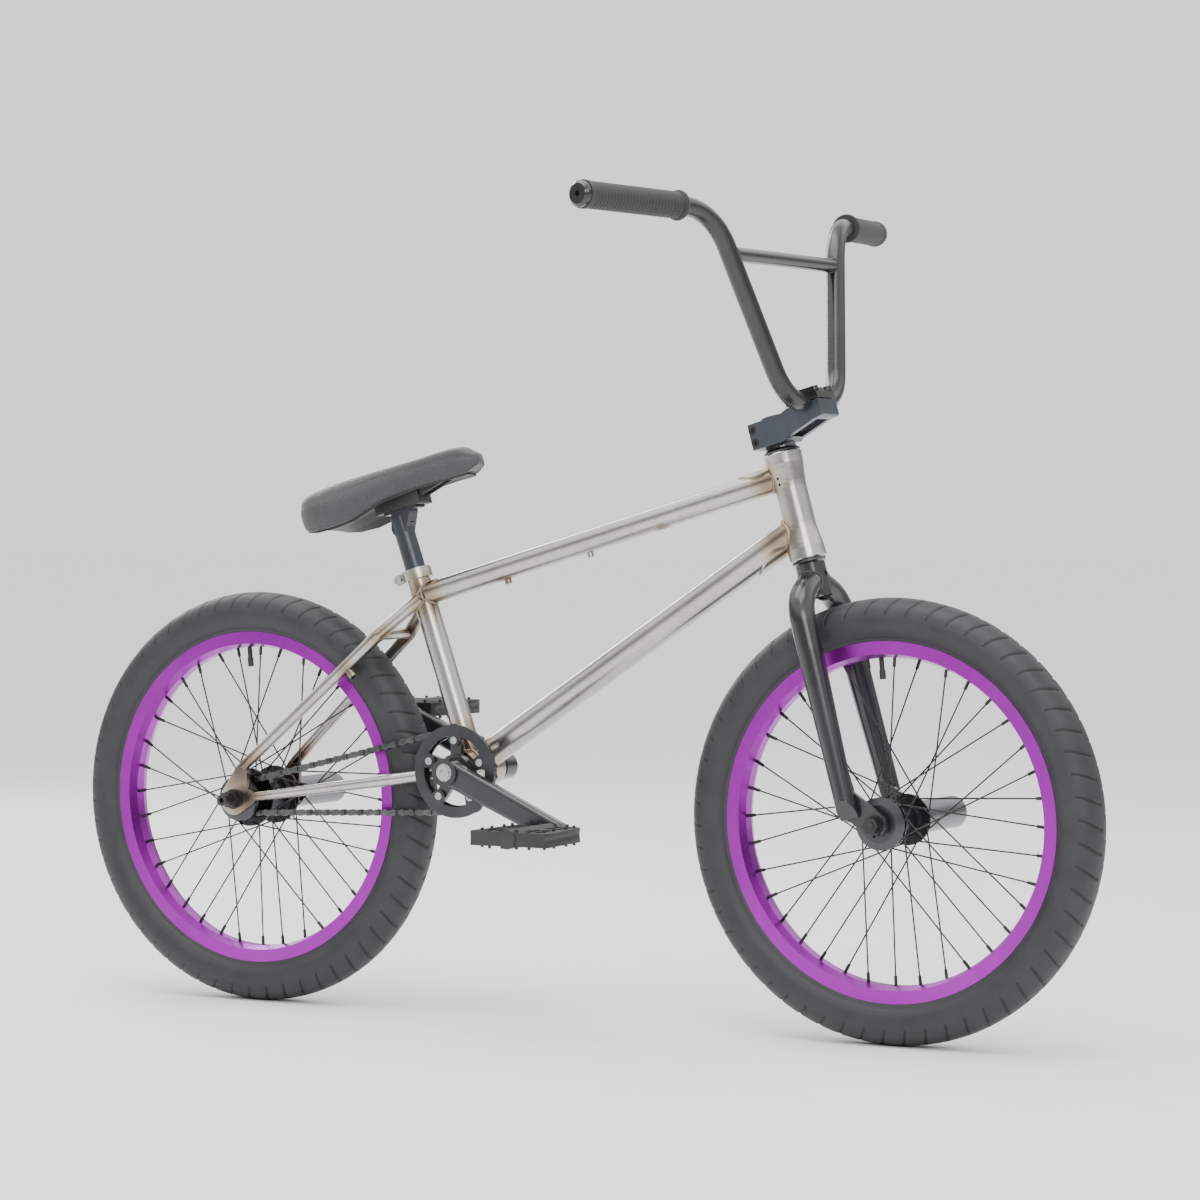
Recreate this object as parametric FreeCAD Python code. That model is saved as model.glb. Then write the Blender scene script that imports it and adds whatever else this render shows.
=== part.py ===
"""Freestyle 20 inch BMX bike, built as separate named pieces in millimetres.

Row frame: origin on the ground midway between the two axles, +X forwards,
+Y to the rider's left, +Z up.  The drive side is the right, at -Y.
"""
import FreeCAD
import Part
import math
import os

V = FreeCAD.Vector

# ---------------------------------------------------------------- driving sizes
WHEELBASE = 887.5
TYRE_R = 258.9            # 20 x 2.4 tyre, outside radius
TYRE_W = 58.0
RIM_R = 209.3             # edge of the rim flange for a 406 mm bead seat
RIM_HALF = 18.5
RIM_WALL = 1.6
RIM_SIDE = 15.3           # height of the rim's side wall
RIM_DEPTH = 19.5

HEAD_TOP_Z = 685.4
HEAD_LEAN = 15.36         # steering axis leans back from vertical, degrees
HEAD_LEN = 128.4
HEAD_R = 22.3
HEAD_WAIST_R = 18.6
FORK_OFFSET = 25.7
LEG_R_TOP = 15.2
LEG_R_END = 11.7
FORK_GAP = 100.0          # inside width between the fork dropouts
REAR_GAP = 110.0          # inside width between the rear dropouts
PLATE_T = 6.0

BB_Z = 302.5
PITCH = 12.7
SPROCKET_TEETH = 25
DRIVER_TEETH = 9
RUN_LINKS = 25            # links in each free run of the chain
CHAIN_Y = -40.0
BB_SHELL_W = 68.0
BB_SHELL_R = 23.7
SPINDLE_R = 11.0
CRANK_LEN = 165.0
CRANK_DROP = 24.0         # right crank arm points forwards and down, degrees

TOP_TUBE_R = 14.3
DOWN_TUBE_R = 17.45
SEAT_TUBE_R = 14.3
POST_R = 12.7
TUBE_WALL = 1.5
SEAT_ANGLE = 70.9
SEAT_TUBE_TOP_Z = 545.0
POST_TOP_Z = 612.0
POST_INSERT = 120.0

STEERER_R = 14.3
BAR_R = 11.1
BAR_REACH = 52.9          # stem reach, across the steering axis
BAR_UP = 46.0             # bar centre above the head tube, along the steering axis
BAR_FLAT = 64.9           # half length of the straight clamped section
BAR_CORNER_Y = 157.9
BAR_RISE = 221.5
BAR_LEAN = 12.1
BAR_HALF = 376.4
BAR_SWEEP = 50.3          # grip end behind the bar corner
BAR_UPSWEEP = 5.5
CROSS_R = 8.4
CROSS_AT = 0.772
GRIP_R = 15.6
GRIP_LEN = 160.0
STEM_HALF = 23.0

REAR_AXLE_R = 7.0
FRONT_AXLE_R = 5.0
AXLE_TIP_REAR = 87.0
AXLE_TIP_FRONT = 68.0
PEG_R = 19.0
PEG_LEN = 104.0
SPOKES = 36
SPOKE_R = 0.95

FIT = 0.05                # radial clearance of a running fit
GAP = 0.4                 # space between pieces that pass one another

# ---------------------------------------------------------------- derived places
XR = -WHEELBASE / 2.0
XF = WHEELBASE / 2.0
ZA = TYRE_R
LEAN = math.radians(HEAD_LEAN)
PITCH_S = PITCH / (2.0 * math.sin(math.pi / SPROCKET_TEETH))
PITCH_D = PITCH / (2.0 * math.sin(math.pi / DRIVER_TEETH))
STEP_S = 360.0 / SPROCKET_TEETH
STEP_D = 360.0 / DRIVER_TEETH
SEATED_S = 7              # rollers seated each side of the sprocket's front one
SEATED_D = 2
END_S = math.radians(SEATED_S * STEP_S)
END_D = math.radians(180.0 - SEATED_D * STEP_D)
RUN_RISE = PITCH_S * math.sin(END_S) - PITCH_D * math.sin(END_D)
RUN_BACK = PITCH_S * math.cos(END_S) - PITCH_D * math.cos(END_D)
CENTRES = math.sqrt((RUN_LINKS * PITCH) ** 2 - RUN_RISE ** 2) - RUN_BACK
BB_X = XR + math.sqrt(CENTRES ** 2 - (BB_Z - ZA) ** 2)
BB = V(BB_X, 0, BB_Z)
CHAIN_TILT = math.degrees(math.atan2(BB_Z - ZA, BB_X - XR))
HEAD_TOP_X = XF - (FORK_OFFSET + (HEAD_TOP_Z - ZA) * math.sin(LEAN)) / math.cos(LEAN)
HEAD_TOP = V(HEAD_TOP_X, 0, HEAD_TOP_Z)
UP_AXIS = V(-math.sin(LEAN), 0, math.cos(LEAN))
ACROSS = V(math.cos(LEAN), 0, math.sin(LEAN))
SEAT_UP = V(-math.cos(math.radians(SEAT_ANGLE)), 0, math.sin(math.radians(SEAT_ANGLE)))


def head(along, across, y=0.0):
    """Point placed from the head tube's top, along and across the steering axis."""
    return HEAD_TOP + UP_AXIS * along + ACROSS * across + V(0, y, 0)


def seat_at(z, y=0.0):
    """Point on the seat tube's centre line at height z."""
    return BB + SEAT_UP * ((z - BB_Z) / SEAT_UP.z) + V(0, y, 0)


def rod(a, b, r, r2=None):
    """Solid round bar from a to b, tapering to r2 when it is given."""
    d = b - a
    if r2 is None or abs(r2 - r) < 1e-6:
        return Part.makeCylinder(r, d.Length, a, d)
    return Part.makeCone(r, r2, d.Length, a, d)


def pipe(a, b, r, ri):
    """Round tube from a to b; its bore runs just past both ends."""
    d = (b - a).normalize()
    return rod(a, b, r).cut(rod(a - d, b + d, ri))


def lathe(points, base, axis):
    """Turned piece: points are (distance along the axis, radius)."""
    ring = [V(r, 0, h) for h, r in points]
    ring.append(ring[0])
    face = Part.Face(Part.makePolygon(ring))
    solid = face.revolve(V(0, 0, 0), V(0, 0, 1), 360)
    turn = FreeCAD.Rotation(V(0, 0, 1), axis)
    solid.Placement = FreeCAD.Placement(base, turn)
    return solid


def bent(points, radii, r):
    """Round bar along straight legs with rounded corners."""
    edges = []
    here = points[0]
    for i in range(1, len(points) - 1):
        back = (points[i - 1] - points[i]).normalize()
        ahead = (points[i + 1] - points[i]).normalize()
        half = back.getAngle(ahead) / 2.0
        cut_back = radii[i - 1] / math.tan(half)
        start = points[i] + back * cut_back
        stop = points[i] + ahead * cut_back
        middle = (back + ahead).normalize()
        centre = points[i] + middle * (radii[i - 1] / math.sin(half))
        edges.append(Part.makeLine(here, start))
        edges.append(Part.Arc(start, centre - middle * radii[i - 1], stop).toShape())
        here = stop
    edges.append(Part.makeLine(here, points[-1]))
    path = Part.Wire(edges)
    ring = Part.Wire(Part.makeCircle(r, points[0], points[1] - points[0]))
    return path.makePipeShell([ring], True, False)


def limb(points, radii):
    """Round bar through several points, tapering between the given radii."""
    whole = rod(points[0], points[1], radii[0], radii[1])
    for i in range(1, len(points) - 1):
        whole = whole.fuse(rod(points[i], points[i + 1], radii[i], radii[i + 1]))
        whole = whole.fuse(Part.makeSphere(radii[i], points[i]))
    return one(whole)


def hull2(a, ra, b, rb, y0, y1):
    """Plate whose outline wraps two circles in the XZ plane, from y0 to y1."""
    d = V(b.x - a.x, 0, b.z - a.z)
    length = d.Length
    d.normalize()
    n = V(-d.z, 0, d.x)
    s = (ra - rb) / length
    c = math.sqrt(1.0 - s * s)
    up = d * s + n * c
    down = d * s - n * c
    pa = V(a.x, y0, a.z)
    pb = V(b.x, y0, b.z)
    top = Part.makeLine(pa + up * ra, pb + up * rb)
    nose = Part.Arc(pb + up * rb, pb + d * rb, pb + down * rb).toShape()
    low = Part.makeLine(pb + down * rb, pa + down * ra)
    tail = Part.Arc(pa + down * ra, pa - d * ra, pa + up * ra).toShape()
    face = Part.Face(Part.Wire([top, nose, low, tail]))
    return face.extrude(V(0, y1 - y0, 0))


def plate(points, y0, y1):
    """Flat plate from (x, z) corners, between y0 and y1."""
    ring = [V(x, y0, z) for x, z in points]
    ring.append(ring[0])
    return Part.Face(Part.makePolygon(ring)).extrude(V(0, y1 - y0, 0))


def hexagon(base, axis, flats, height):
    """Hexagonal bar standing on base along axis."""
    corner = flats / math.sqrt(3.0)
    ring = []
    for i in range(7):
        a = math.radians(60.0 * i)
        ring.append(V(corner * math.cos(a), corner * math.sin(a), 0))
    solid = Part.Face(Part.makePolygon(ring)).extrude(V(0, 0, height))
    solid.Placement = FreeCAD.Placement(base, FreeCAD.Rotation(V(0, 0, 1), axis))
    return solid


def socket_bolt(base, axis, head_r, head_h, shank_r, shank_len):
    """Cap screw: base is under the head, axis points out of the head."""
    bolt = rod(base, base + axis * head_h, head_r)
    bolt = bolt.fuse(rod(base - axis * shank_len, base, shank_r))
    pocket = hexagon(base + axis * (head_h * 0.35), axis, head_r * 0.95, head_h)
    return bolt.cut(pocket)


def mirrored(shape):
    """The same piece on the other side of the bike."""
    return shape.mirror(V(0, 0, 0), V(0, 1, 0))


def one(shape):
    """Clean a boolean result without changing its form."""
    return shape.removeSplitter()


def write(name, *shapes):
    """Save one node; several separate solids make a group."""
    solids = []
    for shape in shapes:
        solids.extend(shape.Solids)
    if len(solids) == 1:
        out = solids[0]
    else:
        out = Part.makeCompound(solids)
    out.exportStep("parts/" + name + ".step")


# ---------------------------------------------------------------- frame tubes
TT_JOIN = 28.0            # top tube meets the steering axis this far below the top
DT_JOIN = 39.0            # down tube meets it this far above the bottom
TT_SEAT_Z = 515.8         # top tube's centre line height at the seat tube
BEARING_R = 20.5
BEARING_H = 7.0
HEAD_CORE_R = 16.4
HEAD_FLARE = 24.0


def head_tube():
    """Head tube drawn in to a waist, with a seat for a bearing in each end."""
    flare = HEAD_FLARE
    pts = [(0, HEAD_R - 0.8), (-1.2, HEAD_R), (-8, HEAD_R - 0.4)]
    for i in range(1, 7):
        t = i / 6.0
        ease = t * t * (3 - 2 * t)
        r = (HEAD_R - 0.4) * (1 - ease) + HEAD_WAIST_R * ease
        pts.append((-8 - (flare + 10) * t, r))
    low = [(-HEAD_LEN - h, r) for h, r in reversed(pts)]
    outline = pts + low
    outline.append((-HEAD_LEN, HEAD_CORE_R))
    outline.append((0, HEAD_CORE_R))
    body = lathe(outline, HEAD_TOP, UP_AXIS)
    body = body.cut(rod(head(1, 0), head(-BEARING_H - 0.5, 0), BEARING_R))
    body = body.cut(rod(head(-HEAD_LEN - 1, 0), head(-HEAD_LEN + BEARING_H + 0.5, 0), BEARING_R))
    for z in (-30.0, -37.0):
        body = body.cut(rod(head(z, -HEAD_R * 0.2, -HEAD_R * 2), head(z, -HEAD_R * 0.2, 0), 1.6))
    return body


def outer_head():
    """Filled envelope of the head tube, used to mitre the tubes that meet it."""
    return rod(head(0.5, 0), head(-HEAD_LEN - 0.5, 0), HEAD_WAIST_R + 0.02)


head_solid = head_tube()
bb_tube = pipe(BB + V(0, -BB_SHELL_W / 2, 0), BB + V(0, BB_SHELL_W / 2, 0), BB_SHELL_R, BEARING_R)
bb_full = rod(BB + V(0, -BB_SHELL_W, 0), BB + V(0, BB_SHELL_W, 0), BB_SHELL_R)
seat_top = seat_at(SEAT_TUBE_TOP_Z)
seat_full = rod(BB, seat_top + SEAT_UP * 40, SEAT_TUBE_R)
SEAT_BORE_R = POST_R + FIT
seat_tube = rod(BB, seat_top, SEAT_TUBE_R).cut(rod(BB - SEAT_UP * 50, seat_top + SEAT_UP, SEAT_BORE_R))
seat_tube = seat_tube.cut(bb_full)
slot_half = 1.2
slot_from = seat_top - SEAT_UP * 26
slot = Part.makeBox(40, 2 * slot_half, 40, V(-40, -slot_half, 0))
slot.Placement = FreeCAD.Placement(slot_from, FreeCAD.Rotation(V(0, 1, 0), -(90 - SEAT_ANGLE)))
seat_tube = seat_tube.cut(slot)

tt_a = seat_at(TT_SEAT_Z)
tt_b = head(-TT_JOIN, 0)
head_clear = head_solid.fuse(outer_head())
top_tube = rod(tt_a, tt_b, TOP_TUBE_R).cut(head_clear).cut(seat_full)
top_tube = top_tube.cut(rod(tt_a, tt_b, TOP_TUBE_R - TUBE_WALL)).Solids
top_tube = sorted(top_tube, key=lambda s: s.Volume)[-1]

dt_b = head(-HEAD_LEN + DT_JOIN, 0)
dt_a = BB + V(6.5, 0, 10.0)
down_full = rod(dt_a, dt_b, DOWN_TUBE_R)
down_tube = down_full.cut(head_clear).cut(bb_full).cut(seat_full)
down_tube = down_tube.cut(rod(dt_a, dt_b, DOWN_TUBE_R - TUBE_WALL)).Solids
down_tube = sorted(down_tube, key=lambda s: s.Volume)[-1]
tt_out = rod(tt_a, tt_b, TOP_TUBE_R)
down_tube = down_tube.cut(tt_out)


def gusset(tube_a, tube_b, tube_r, side, length, width):
    """Lens shaped plate laid over a tube's outside next to the head tube."""
    d = (tube_b - tube_a).normalize()
    n = V(-d.z, 0, d.x) * side
    skin = rod(tube_a, tube_b, tube_r + 2.4).cut(rod(tube_a - d, tube_b + d, tube_r))
    tip = tube_b - d * (length + HEAD_WAIST_R)
    root = tube_b - d * 2
    mid = (tip + root) * 0.5
    a = tip + V(0, 0, 0)
    left = Part.Arc(a, mid + V(0, width, 0), root).toShape()
    right = Part.Arc(root, mid - V(0, width, 0), a).toShape()
    lens = Part.Face(Part.Wire([left, right])).extrude(n * (tube_r * 2.5))
    return skin.common(lens).cut(head_clear)


gusset_top = gusset(tt_a, tt_b, TOP_TUBE_R, 1.0, 46.0, 13.0)
gusset_low = gusset(dt_a, dt_b, DOWN_TUBE_R, -1.0, 58.0, 16.0)

# ---------------------------------------------------------------- rear triangle
SOLID_TIP = 50.0          # pinched end of a stay, with no bore
STAY_R = 8.0
STAY_TIP_R = 5.6
SS_R = 8.2
SS_TIP_R = 6.6
DROP_Y = REAR_GAP / 2.0
DROP_MID = DROP_Y + PLATE_T / 2.0
stay_front = V(BB.x - 13, -21, BB.z - 1)
stay_knee = V(BB.x - 57, -28.3, BB.z - 7.5)
stay_hip = V(BB.x - 93, -40.5, BB.z - 13)
stay_tail = V(XR + 33, -DROP_MID, ZA + 4.0)
heel_share = (stay_hip.x - BB.x + CRANK_LEN + 7.0) / (stay_hip.x - stay_tail.x)
stay_heel = stay_hip + (stay_tail - stay_hip) * heel_share
stay_heel.y = -42.0       # narrow until the swing of the crank has passed
stay_end = stay_tail + (stay_heel - stay_tail).normalize() * SOLID_TIP
stay_line = [stay_front, stay_knee, stay_hip, stay_heel]
chain_stay = limb(stay_line + [stay_tail], [STAY_R, STAY_R, STAY_R, STAY_R - 1.0, STAY_TIP_R]).cut(bb_full)
bore_radii = [STAY_R - TUBE_WALL] * 3 + [STAY_R - 1.0 - TUBE_WALL, STAY_R - 1.8 - TUBE_WALL]
chain_stay = chain_stay.cut(limb(stay_line + [stay_end], bore_radii))

ss_top = seat_at(511.0, -10.0)
ss_bend = V(XR + 202.0, -36.5, 467.0)
ss_tail = V(XR + 13.0, -DROP_MID, ZA + 41.0)
ss_end = ss_tail + (ss_bend - ss_tail).normalize() * SOLID_TIP
seat_stay = limb([ss_tail, ss_bend, ss_top], [SS_TIP_R, SS_R, SS_R]).cut(seat_full)
seat_stay = seat_stay.cut(limb([ss_end, ss_bend, ss_top], [SS_TIP_R - TUBE_WALL, SS_R - TUBE_WALL, SS_R - TUBE_WALL]))
seat_stay = seat_stay.cut(Part.makeBox(400, 100, 400, V(XR, 0, ZA)))

drop = hull2(V(XR, 0, ZA), 20.0, V(XR + 25.0, 0, ZA + 3.0), 9.0, -DROP_Y - PLATE_T, -DROP_Y)
drop = drop.fuse(hull2(V(XR, 0, ZA), 20.0, V(XR + 12.0, 0, ZA + 36.0), 8.5, -DROP_Y - PLATE_T, -DROP_Y))
drop_slot = Part.makeBox(60, 40, 2 * (REAR_AXLE_R + 0.1), V(XR - 60, -DROP_Y - 20, ZA - REAR_AXLE_R - 0.1))
drop = drop.cut(drop_slot)
drop = drop.cut(rod(V(XR, -DROP_Y - 20, ZA), V(XR, -DROP_Y + 20, ZA), REAR_AXLE_R + 0.1))
drop = one(drop)
chain_stay = chain_stay.cut(drop)
chain_stay = sorted(chain_stay.Solids, key=lambda s: s.Volume)[-1]
seat_stay = seat_stay.cut(drop)
seat_stay = sorted(seat_stay.Solids, key=lambda s: s.Volume)[-1]

bridge_at = V(XR + 202.0, 0, 467.0)
seat_bridge = rod(bridge_at - V(0, 36, 0), bridge_at + V(0, 36, 0), 6.5)
seat_bridge = seat_bridge.cut(seat_stay).cut(mirrored(seat_stay))
seat_bridge = sorted(seat_bridge.Solids, key=lambda s: s.Volume)[-1]
low_at = V(BB.x - 42.0, 0, BB.z - 5.3)
chain_bridge = rod(low_at - V(0, 26, 0), low_at + V(0, 26, 0), 6.5)
chain_bridge = chain_bridge.cut(chain_stay).cut(mirrored(chain_stay))
chain_bridge = sorted(chain_bridge.Solids, key=lambda s: s.Volume)[-1]

# ---------------------------------------------------------------- small fittings
BOSS_R = 5.0
BOSS_HOLE_R = 2.1         # tapped M5 core
stay_dir = (ss_bend - ss_tail).normalize()
boss_at = ss_tail + stay_dir * ((427.5 - ss_tail.z) / stay_dir.z)
boss_out = V(stay_dir.z, 0, -stay_dir.x).normalize()
BOSS_LEN = 17.0


def stay_boss():
    """Threaded lug standing off the seat stay for a removable brake."""
    boss = rod(boss_at, boss_at + boss_out * BOSS_LEN, BOSS_R).cut(seat_stay)
    boss = boss.cut(rod(boss_at + boss_out * (SS_R + 0.5), boss_at + boss_out * 40, BOSS_HOLE_R))
    return sorted(boss.Solids, key=lambda s: s.Volume)[-1]


def cable_boss(t):
    """Small threaded cable-guide lug under the top tube."""
    d = (tt_b - tt_a).normalize()
    n = V(d.z, 0, -d.x)
    at = tt_a + (tt_b - tt_a) * t
    boss = rod(at, at + n * (TOP_TUBE_R + 5.5), 4.2).cut(rod(tt_a, tt_b, TOP_TUBE_R))
    boss = boss.cut(rod(at + n * TOP_TUBE_R, at + n * (TOP_TUBE_R + 9), 1.65))
    return boss


CLAMP_R = 18.3
CLAMP_H = 13.0
clamp_low = seat_top - SEAT_UP * (CLAMP_H - 2.0)
clamp_top = seat_top + SEAT_UP * 2.0
clamp_ring = rod(clamp_low, clamp_top, CLAMP_R).cut(rod(clamp_low - SEAT_UP, seat_top, SEAT_TUBE_R))
clamp_ring = clamp_ring.cut(rod(clamp_low - SEAT_UP, clamp_top + SEAT_UP, SEAT_BORE_R))
lug_mid = (clamp_low + clamp_top) * 0.5
back = V(-SEAT_UP.z, 0, SEAT_UP.x)
LUG_OUT = 19.5
LUG_HALF = 9.5
lug_box = Part.makeBox(CLAMP_H, 2 * LUG_HALF, 15, V(-CLAMP_H / 2, -LUG_HALF, 0))
lug_box.Placement = FreeCAD.Placement(lug_mid + back * (LUG_OUT + 6 - 15), FreeCAD.Rotation(V(0, 0, 1), back))
lug_box = lug_box.cut(seat_full)
clamp_body = clamp_ring.fuse(lug_box)
lug_gap = Part.makeBox(CLAMP_H + 4, 2 * slot_half, 30, V(-CLAMP_H / 2 - 2, -slot_half, 0))
lug_gap.Placement = FreeCAD.Placement(lug_mid + back * 12, FreeCAD.Rotation(V(0, 0, 1), back))
clamp_body = clamp_body.cut(lug_gap)
CLAMP_BOLT_R = 3.0
bolt_mid = lug_mid + back * (LUG_OUT + 1.6)
clamp_body = clamp_body.cut(rod(bolt_mid - V(0, 30, 0), bolt_mid + V(0, 30, 0), CLAMP_BOLT_R))
clamp_body = one(clamp_body)
clamp_bolt = socket_bolt(bolt_mid - V(0, LUG_HALF, 0), V(0, -1, 0), 5.0, 5.5, CLAMP_BOLT_R, 2 * LUG_HALF)

# ---------------------------------------------------------------- bearings of the frame
RING_HUG = 0.0


def ring(a, b, r, ri):
    """Bearing ring between a and b."""
    return pipe(a, b, r, ri)


head_ring_top = ring(head(-BEARING_H - 0.5, 0), head(-0.5, 0), BEARING_R, STEERER_R + FIT)
head_ring_low = ring(head(-HEAD_LEN + 0.5, 0), head(-HEAD_LEN + BEARING_H + 0.5, 0), BEARING_R, STEERER_R + FIT)
BB_RING = 8.0
bb_edge = BB_SHELL_W / 2.0
bb_ring_r = ring(BB + V(0, -bb_edge, 0), BB + V(0, -bb_edge + BB_RING, 0), BEARING_R, SPINDLE_R + FIT)
bb_ring_l = mirrored(bb_ring_r)

# ---------------------------------------------------------------- chain
ROLLER_R = 3.88
PLATE_H = 4.1
WAIST_H = 2.9
INNER_W = 3.3
CP_T = 1.1


def link_plate(y0, y1):
    """Waisted chain plate, first pin at the origin and second at +X."""
    ends = []
    for x in (0.0, PITCH):
        ends.append(Part.makeCylinder(PLATE_H, y1 - y0, V(x, y0, 0), V(0, 1, 0)))
    bar = Part.makeBox(PITCH, y1 - y0, 2 * WAIST_H, V(0, y0, -WAIST_H))
    return ends[0].fuse(ends[1]).fuse(bar)


def inner_link():
    """Two inner plates on two rollers."""
    half = INNER_W / 2.0
    link = link_plate(half, half + CP_T).fuse(link_plate(-half - CP_T, -half))
    for x in (0.0, PITCH):
        link = link.fuse(Part.makeCylinder(ROLLER_R, INNER_W, V(x, -half, 0), V(0, 1, 0)))
    for x in (0.0, PITCH):
        link = link.cut(Part.makeCylinder(1.85, 12, V(x, -6, 0), V(0, 1, 0)))
    return one(link)


def outer_link():
    """Two outer plates on two pins."""
    half = INNER_W / 2.0 + CP_T + 0.1
    link = link_plate(half, half + CP_T).fuse(link_plate(-half - CP_T, -half))
    reach = half + CP_T + 0.45
    for x in (0.0, PITCH):
        link = link.fuse(Part.makeCylinder(1.8, 2 * reach, V(x, -reach, 0), V(0, 1, 0)))
    return one(link)


def chain_pins():
    """Pin centres in order round the loop, in the frame's XZ plane."""
    flat = []
    for i in range(-SEATED_S, SEATED_S + 1):
        a = math.radians(-i * STEP_S)
        flat.append((CENTRES + PITCH_S * math.cos(a), PITCH_S * math.sin(a)))
    low_a = flat[-1]
    low_b = (PITCH_D * math.cos(END_D), -PITCH_D * math.sin(END_D))
    for i in range(1, RUN_LINKS):
        t = i / float(RUN_LINKS)
        flat.append((low_a[0] + (low_b[0] - low_a[0]) * t, low_a[1] + (low_b[1] - low_a[1]) * t))
    for i in range(-SEATED_D, SEATED_D + 1):
        a = math.radians(180.0 - i * STEP_D)
        flat.append((PITCH_D * math.cos(a), PITCH_D * math.sin(a)))
    top_a = flat[-1]
    top_b = flat[0]
    for i in range(1, RUN_LINKS):
        t = i / float(RUN_LINKS)
        flat.append((top_a[0] + (top_b[0] - top_a[0]) * t, top_a[1] + (top_b[1] - top_a[1]) * t))
    tilt = math.radians(CHAIN_TILT)
    out = []
    for u, w in flat:
        out.append(V(XR + u * math.cos(tilt) - w * math.sin(tilt), CHAIN_Y,
                     ZA + u * math.sin(tilt) + w * math.cos(tilt)))
    return out


pins = chain_pins()
inner = inner_link()
outer = outer_link()
inner_links = []
outer_links = []
for i, a in enumerate(pins):
    b = pins[(i + 1) % len(pins)]
    turn = math.degrees(math.atan2(b.z - a.z, b.x - a.x))
    seat = FreeCAD.Placement(a, FreeCAD.Rotation(V(0, 1, 0), -turn))
    if i % 2 == 0:
        link = inner.copy()
        link.Placement = seat
        inner_links.append(link)
    else:
        link = outer.copy()
        link.Placement = seat
        outer_links.append(link)


SEAT_PLAY = 0.12          # between a roller and its tooth gap


def toothed(teeth, pitch_r, tip_r, start, centre, y0, y1):
    """Toothed disc: round seats for the chain's rollers, each flank drawn about the next roller."""
    seat_r = ROLLER_R + SEAT_PLAY
    flank_r = PITCH - seat_r
    spots = []
    for i in range(teeth + 1):
        a = math.radians(start + i * 360.0 / teeth)
        spots.append(centre + V(math.cos(a), 0, math.sin(a)) * pitch_r)
    low = V(0, y0, 0)
    high = V(0, y1, 0)
    points = []
    for here, there in zip(spots[:-1], spots[1:]):
        points.append(rod(here + low, here + high, flank_r).common(rod(there + low, there + high, flank_r)))
    disc = rod(centre + low, centre + high, pitch_r * math.cos(math.pi / teeth)).fuse(points)
    disc = disc.common(rod(centre + low, centre + high, tip_r))
    return disc.cut([rod(spot + low - V(0, 1, 0), spot + high + V(0, 1, 0), seat_r) for spot in spots[:-1]])


# ---------------------------------------------------------------- driver and sprocket
TOOTH_T = 2.8
tooth_a = CHAIN_Y - TOOTH_T / 2.0
tooth_b = CHAIN_Y + TOOTH_T / 2.0
rear_c = V(XR, 0, ZA)
driver = toothed(DRIVER_TEETH, PITCH_D, PITCH_D + 2.9, 180.0 + CHAIN_TILT, rear_c, tooth_a, tooth_b)
DRIVER_R = 13.2
driver = driver.fuse(rod(rear_c + V(0, CHAIN_Y - 3.4, 0), rear_c + V(0, -28.4, 0), DRIVER_R))
driver = driver.cut(rod(rear_c + V(0, -60, 0), rear_c + V(0, -20, 0), REAR_AXLE_R + FIT))
driver = one(driver)

GUARD_R = 56.8
GUARD_IN = 43.5
GUARD_T = 3.4
GUARD_Y = CHAIN_Y - 5.4
BOLT_PCR = 38.0
LOBE_R = 7.6
ARM_W = 15.0
ARM_REACH = 37.5
SPROCKET_HUB_R = 21.0
sprocket = toothed(SPROCKET_TEETH, PITCH_S, PITCH_S + 3.1, CHAIN_TILT, BB, tooth_a, tooth_b)
sprocket = sprocket.cut(rod(BB + V(0, -80, 0), BB + V(0, -20, 0), 42.0))
HUB_IN = -bb_edge - 2.6
ARM_FACE = GUARD_Y - GUARD_T
sprocket = sprocket.fuse(rod(BB + V(0, HUB_IN, 0), BB + V(0, ARM_FACE - 0.2, 0), SPROCKET_HUB_R))
BOLT_START = 90.0
guard = rod(BB + V(0, GUARD_Y, 0), BB + V(0, GUARD_Y - GUARD_T, 0), GUARD_R)
guard = guard.cut(rod(BB + V(0, GUARD_Y + 1, 0), BB + V(0, GUARD_Y - 9, 0), GUARD_IN))
guard_holes = []
guard_bolts = []
for i in range(5):
    a = math.radians(BOLT_START + 72.0 * i)
    at = BB + V(math.cos(a), 0, math.sin(a)) * BOLT_PCR
    arm = hull2(BB, ARM_W / 2, BB + V(math.cos(a), 0, math.sin(a)) * ARM_REACH, ARM_W / 2, GUARD_Y, tooth_b)
    sprocket = sprocket.fuse(arm)
    lobe = hull2(at, LOBE_R, BB + V(math.cos(a), 0, math.sin(a)) * 47.0, LOBE_R * 1.5, GUARD_Y - GUARD_T, GUARD_Y)
    guard = guard.fuse(lobe)
    guard_holes.append(rod(at + V(0, -20, 0), at + V(0, -60, 0), 2.6))
    bolt = socket_bolt(at + V(0, GUARD_Y - GUARD_T, 0), V(0, -1, 0), 4.6, 1.6, 2.6, GUARD_T + 6.5)
    guard_bolts.append(bolt)
spindle_hole = rod(BB + V(0, -90, 0), BB + V(0, -20, 0), SPINDLE_R)
sprocket = one(sprocket.cut(guard_holes).cut(spindle_hole))
guard = one(guard.cut(guard_holes))

# ---------------------------------------------------------------- crank
ARM_IN = ARM_FACE - 0.5
ARM_OUT = ARM_IN - 24.0
ARM_R = 17.0
ARM_TIP_R = 13.6
BLADE_IN = ARM_IN - 3.2
BLADE_OUT = ARM_OUT + 3.4
PEDAL_AXLE_R = 7.1
drop_a = math.radians(CRANK_DROP)
crank_dir = V(math.cos(drop_a), 0, -math.sin(drop_a))


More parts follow.
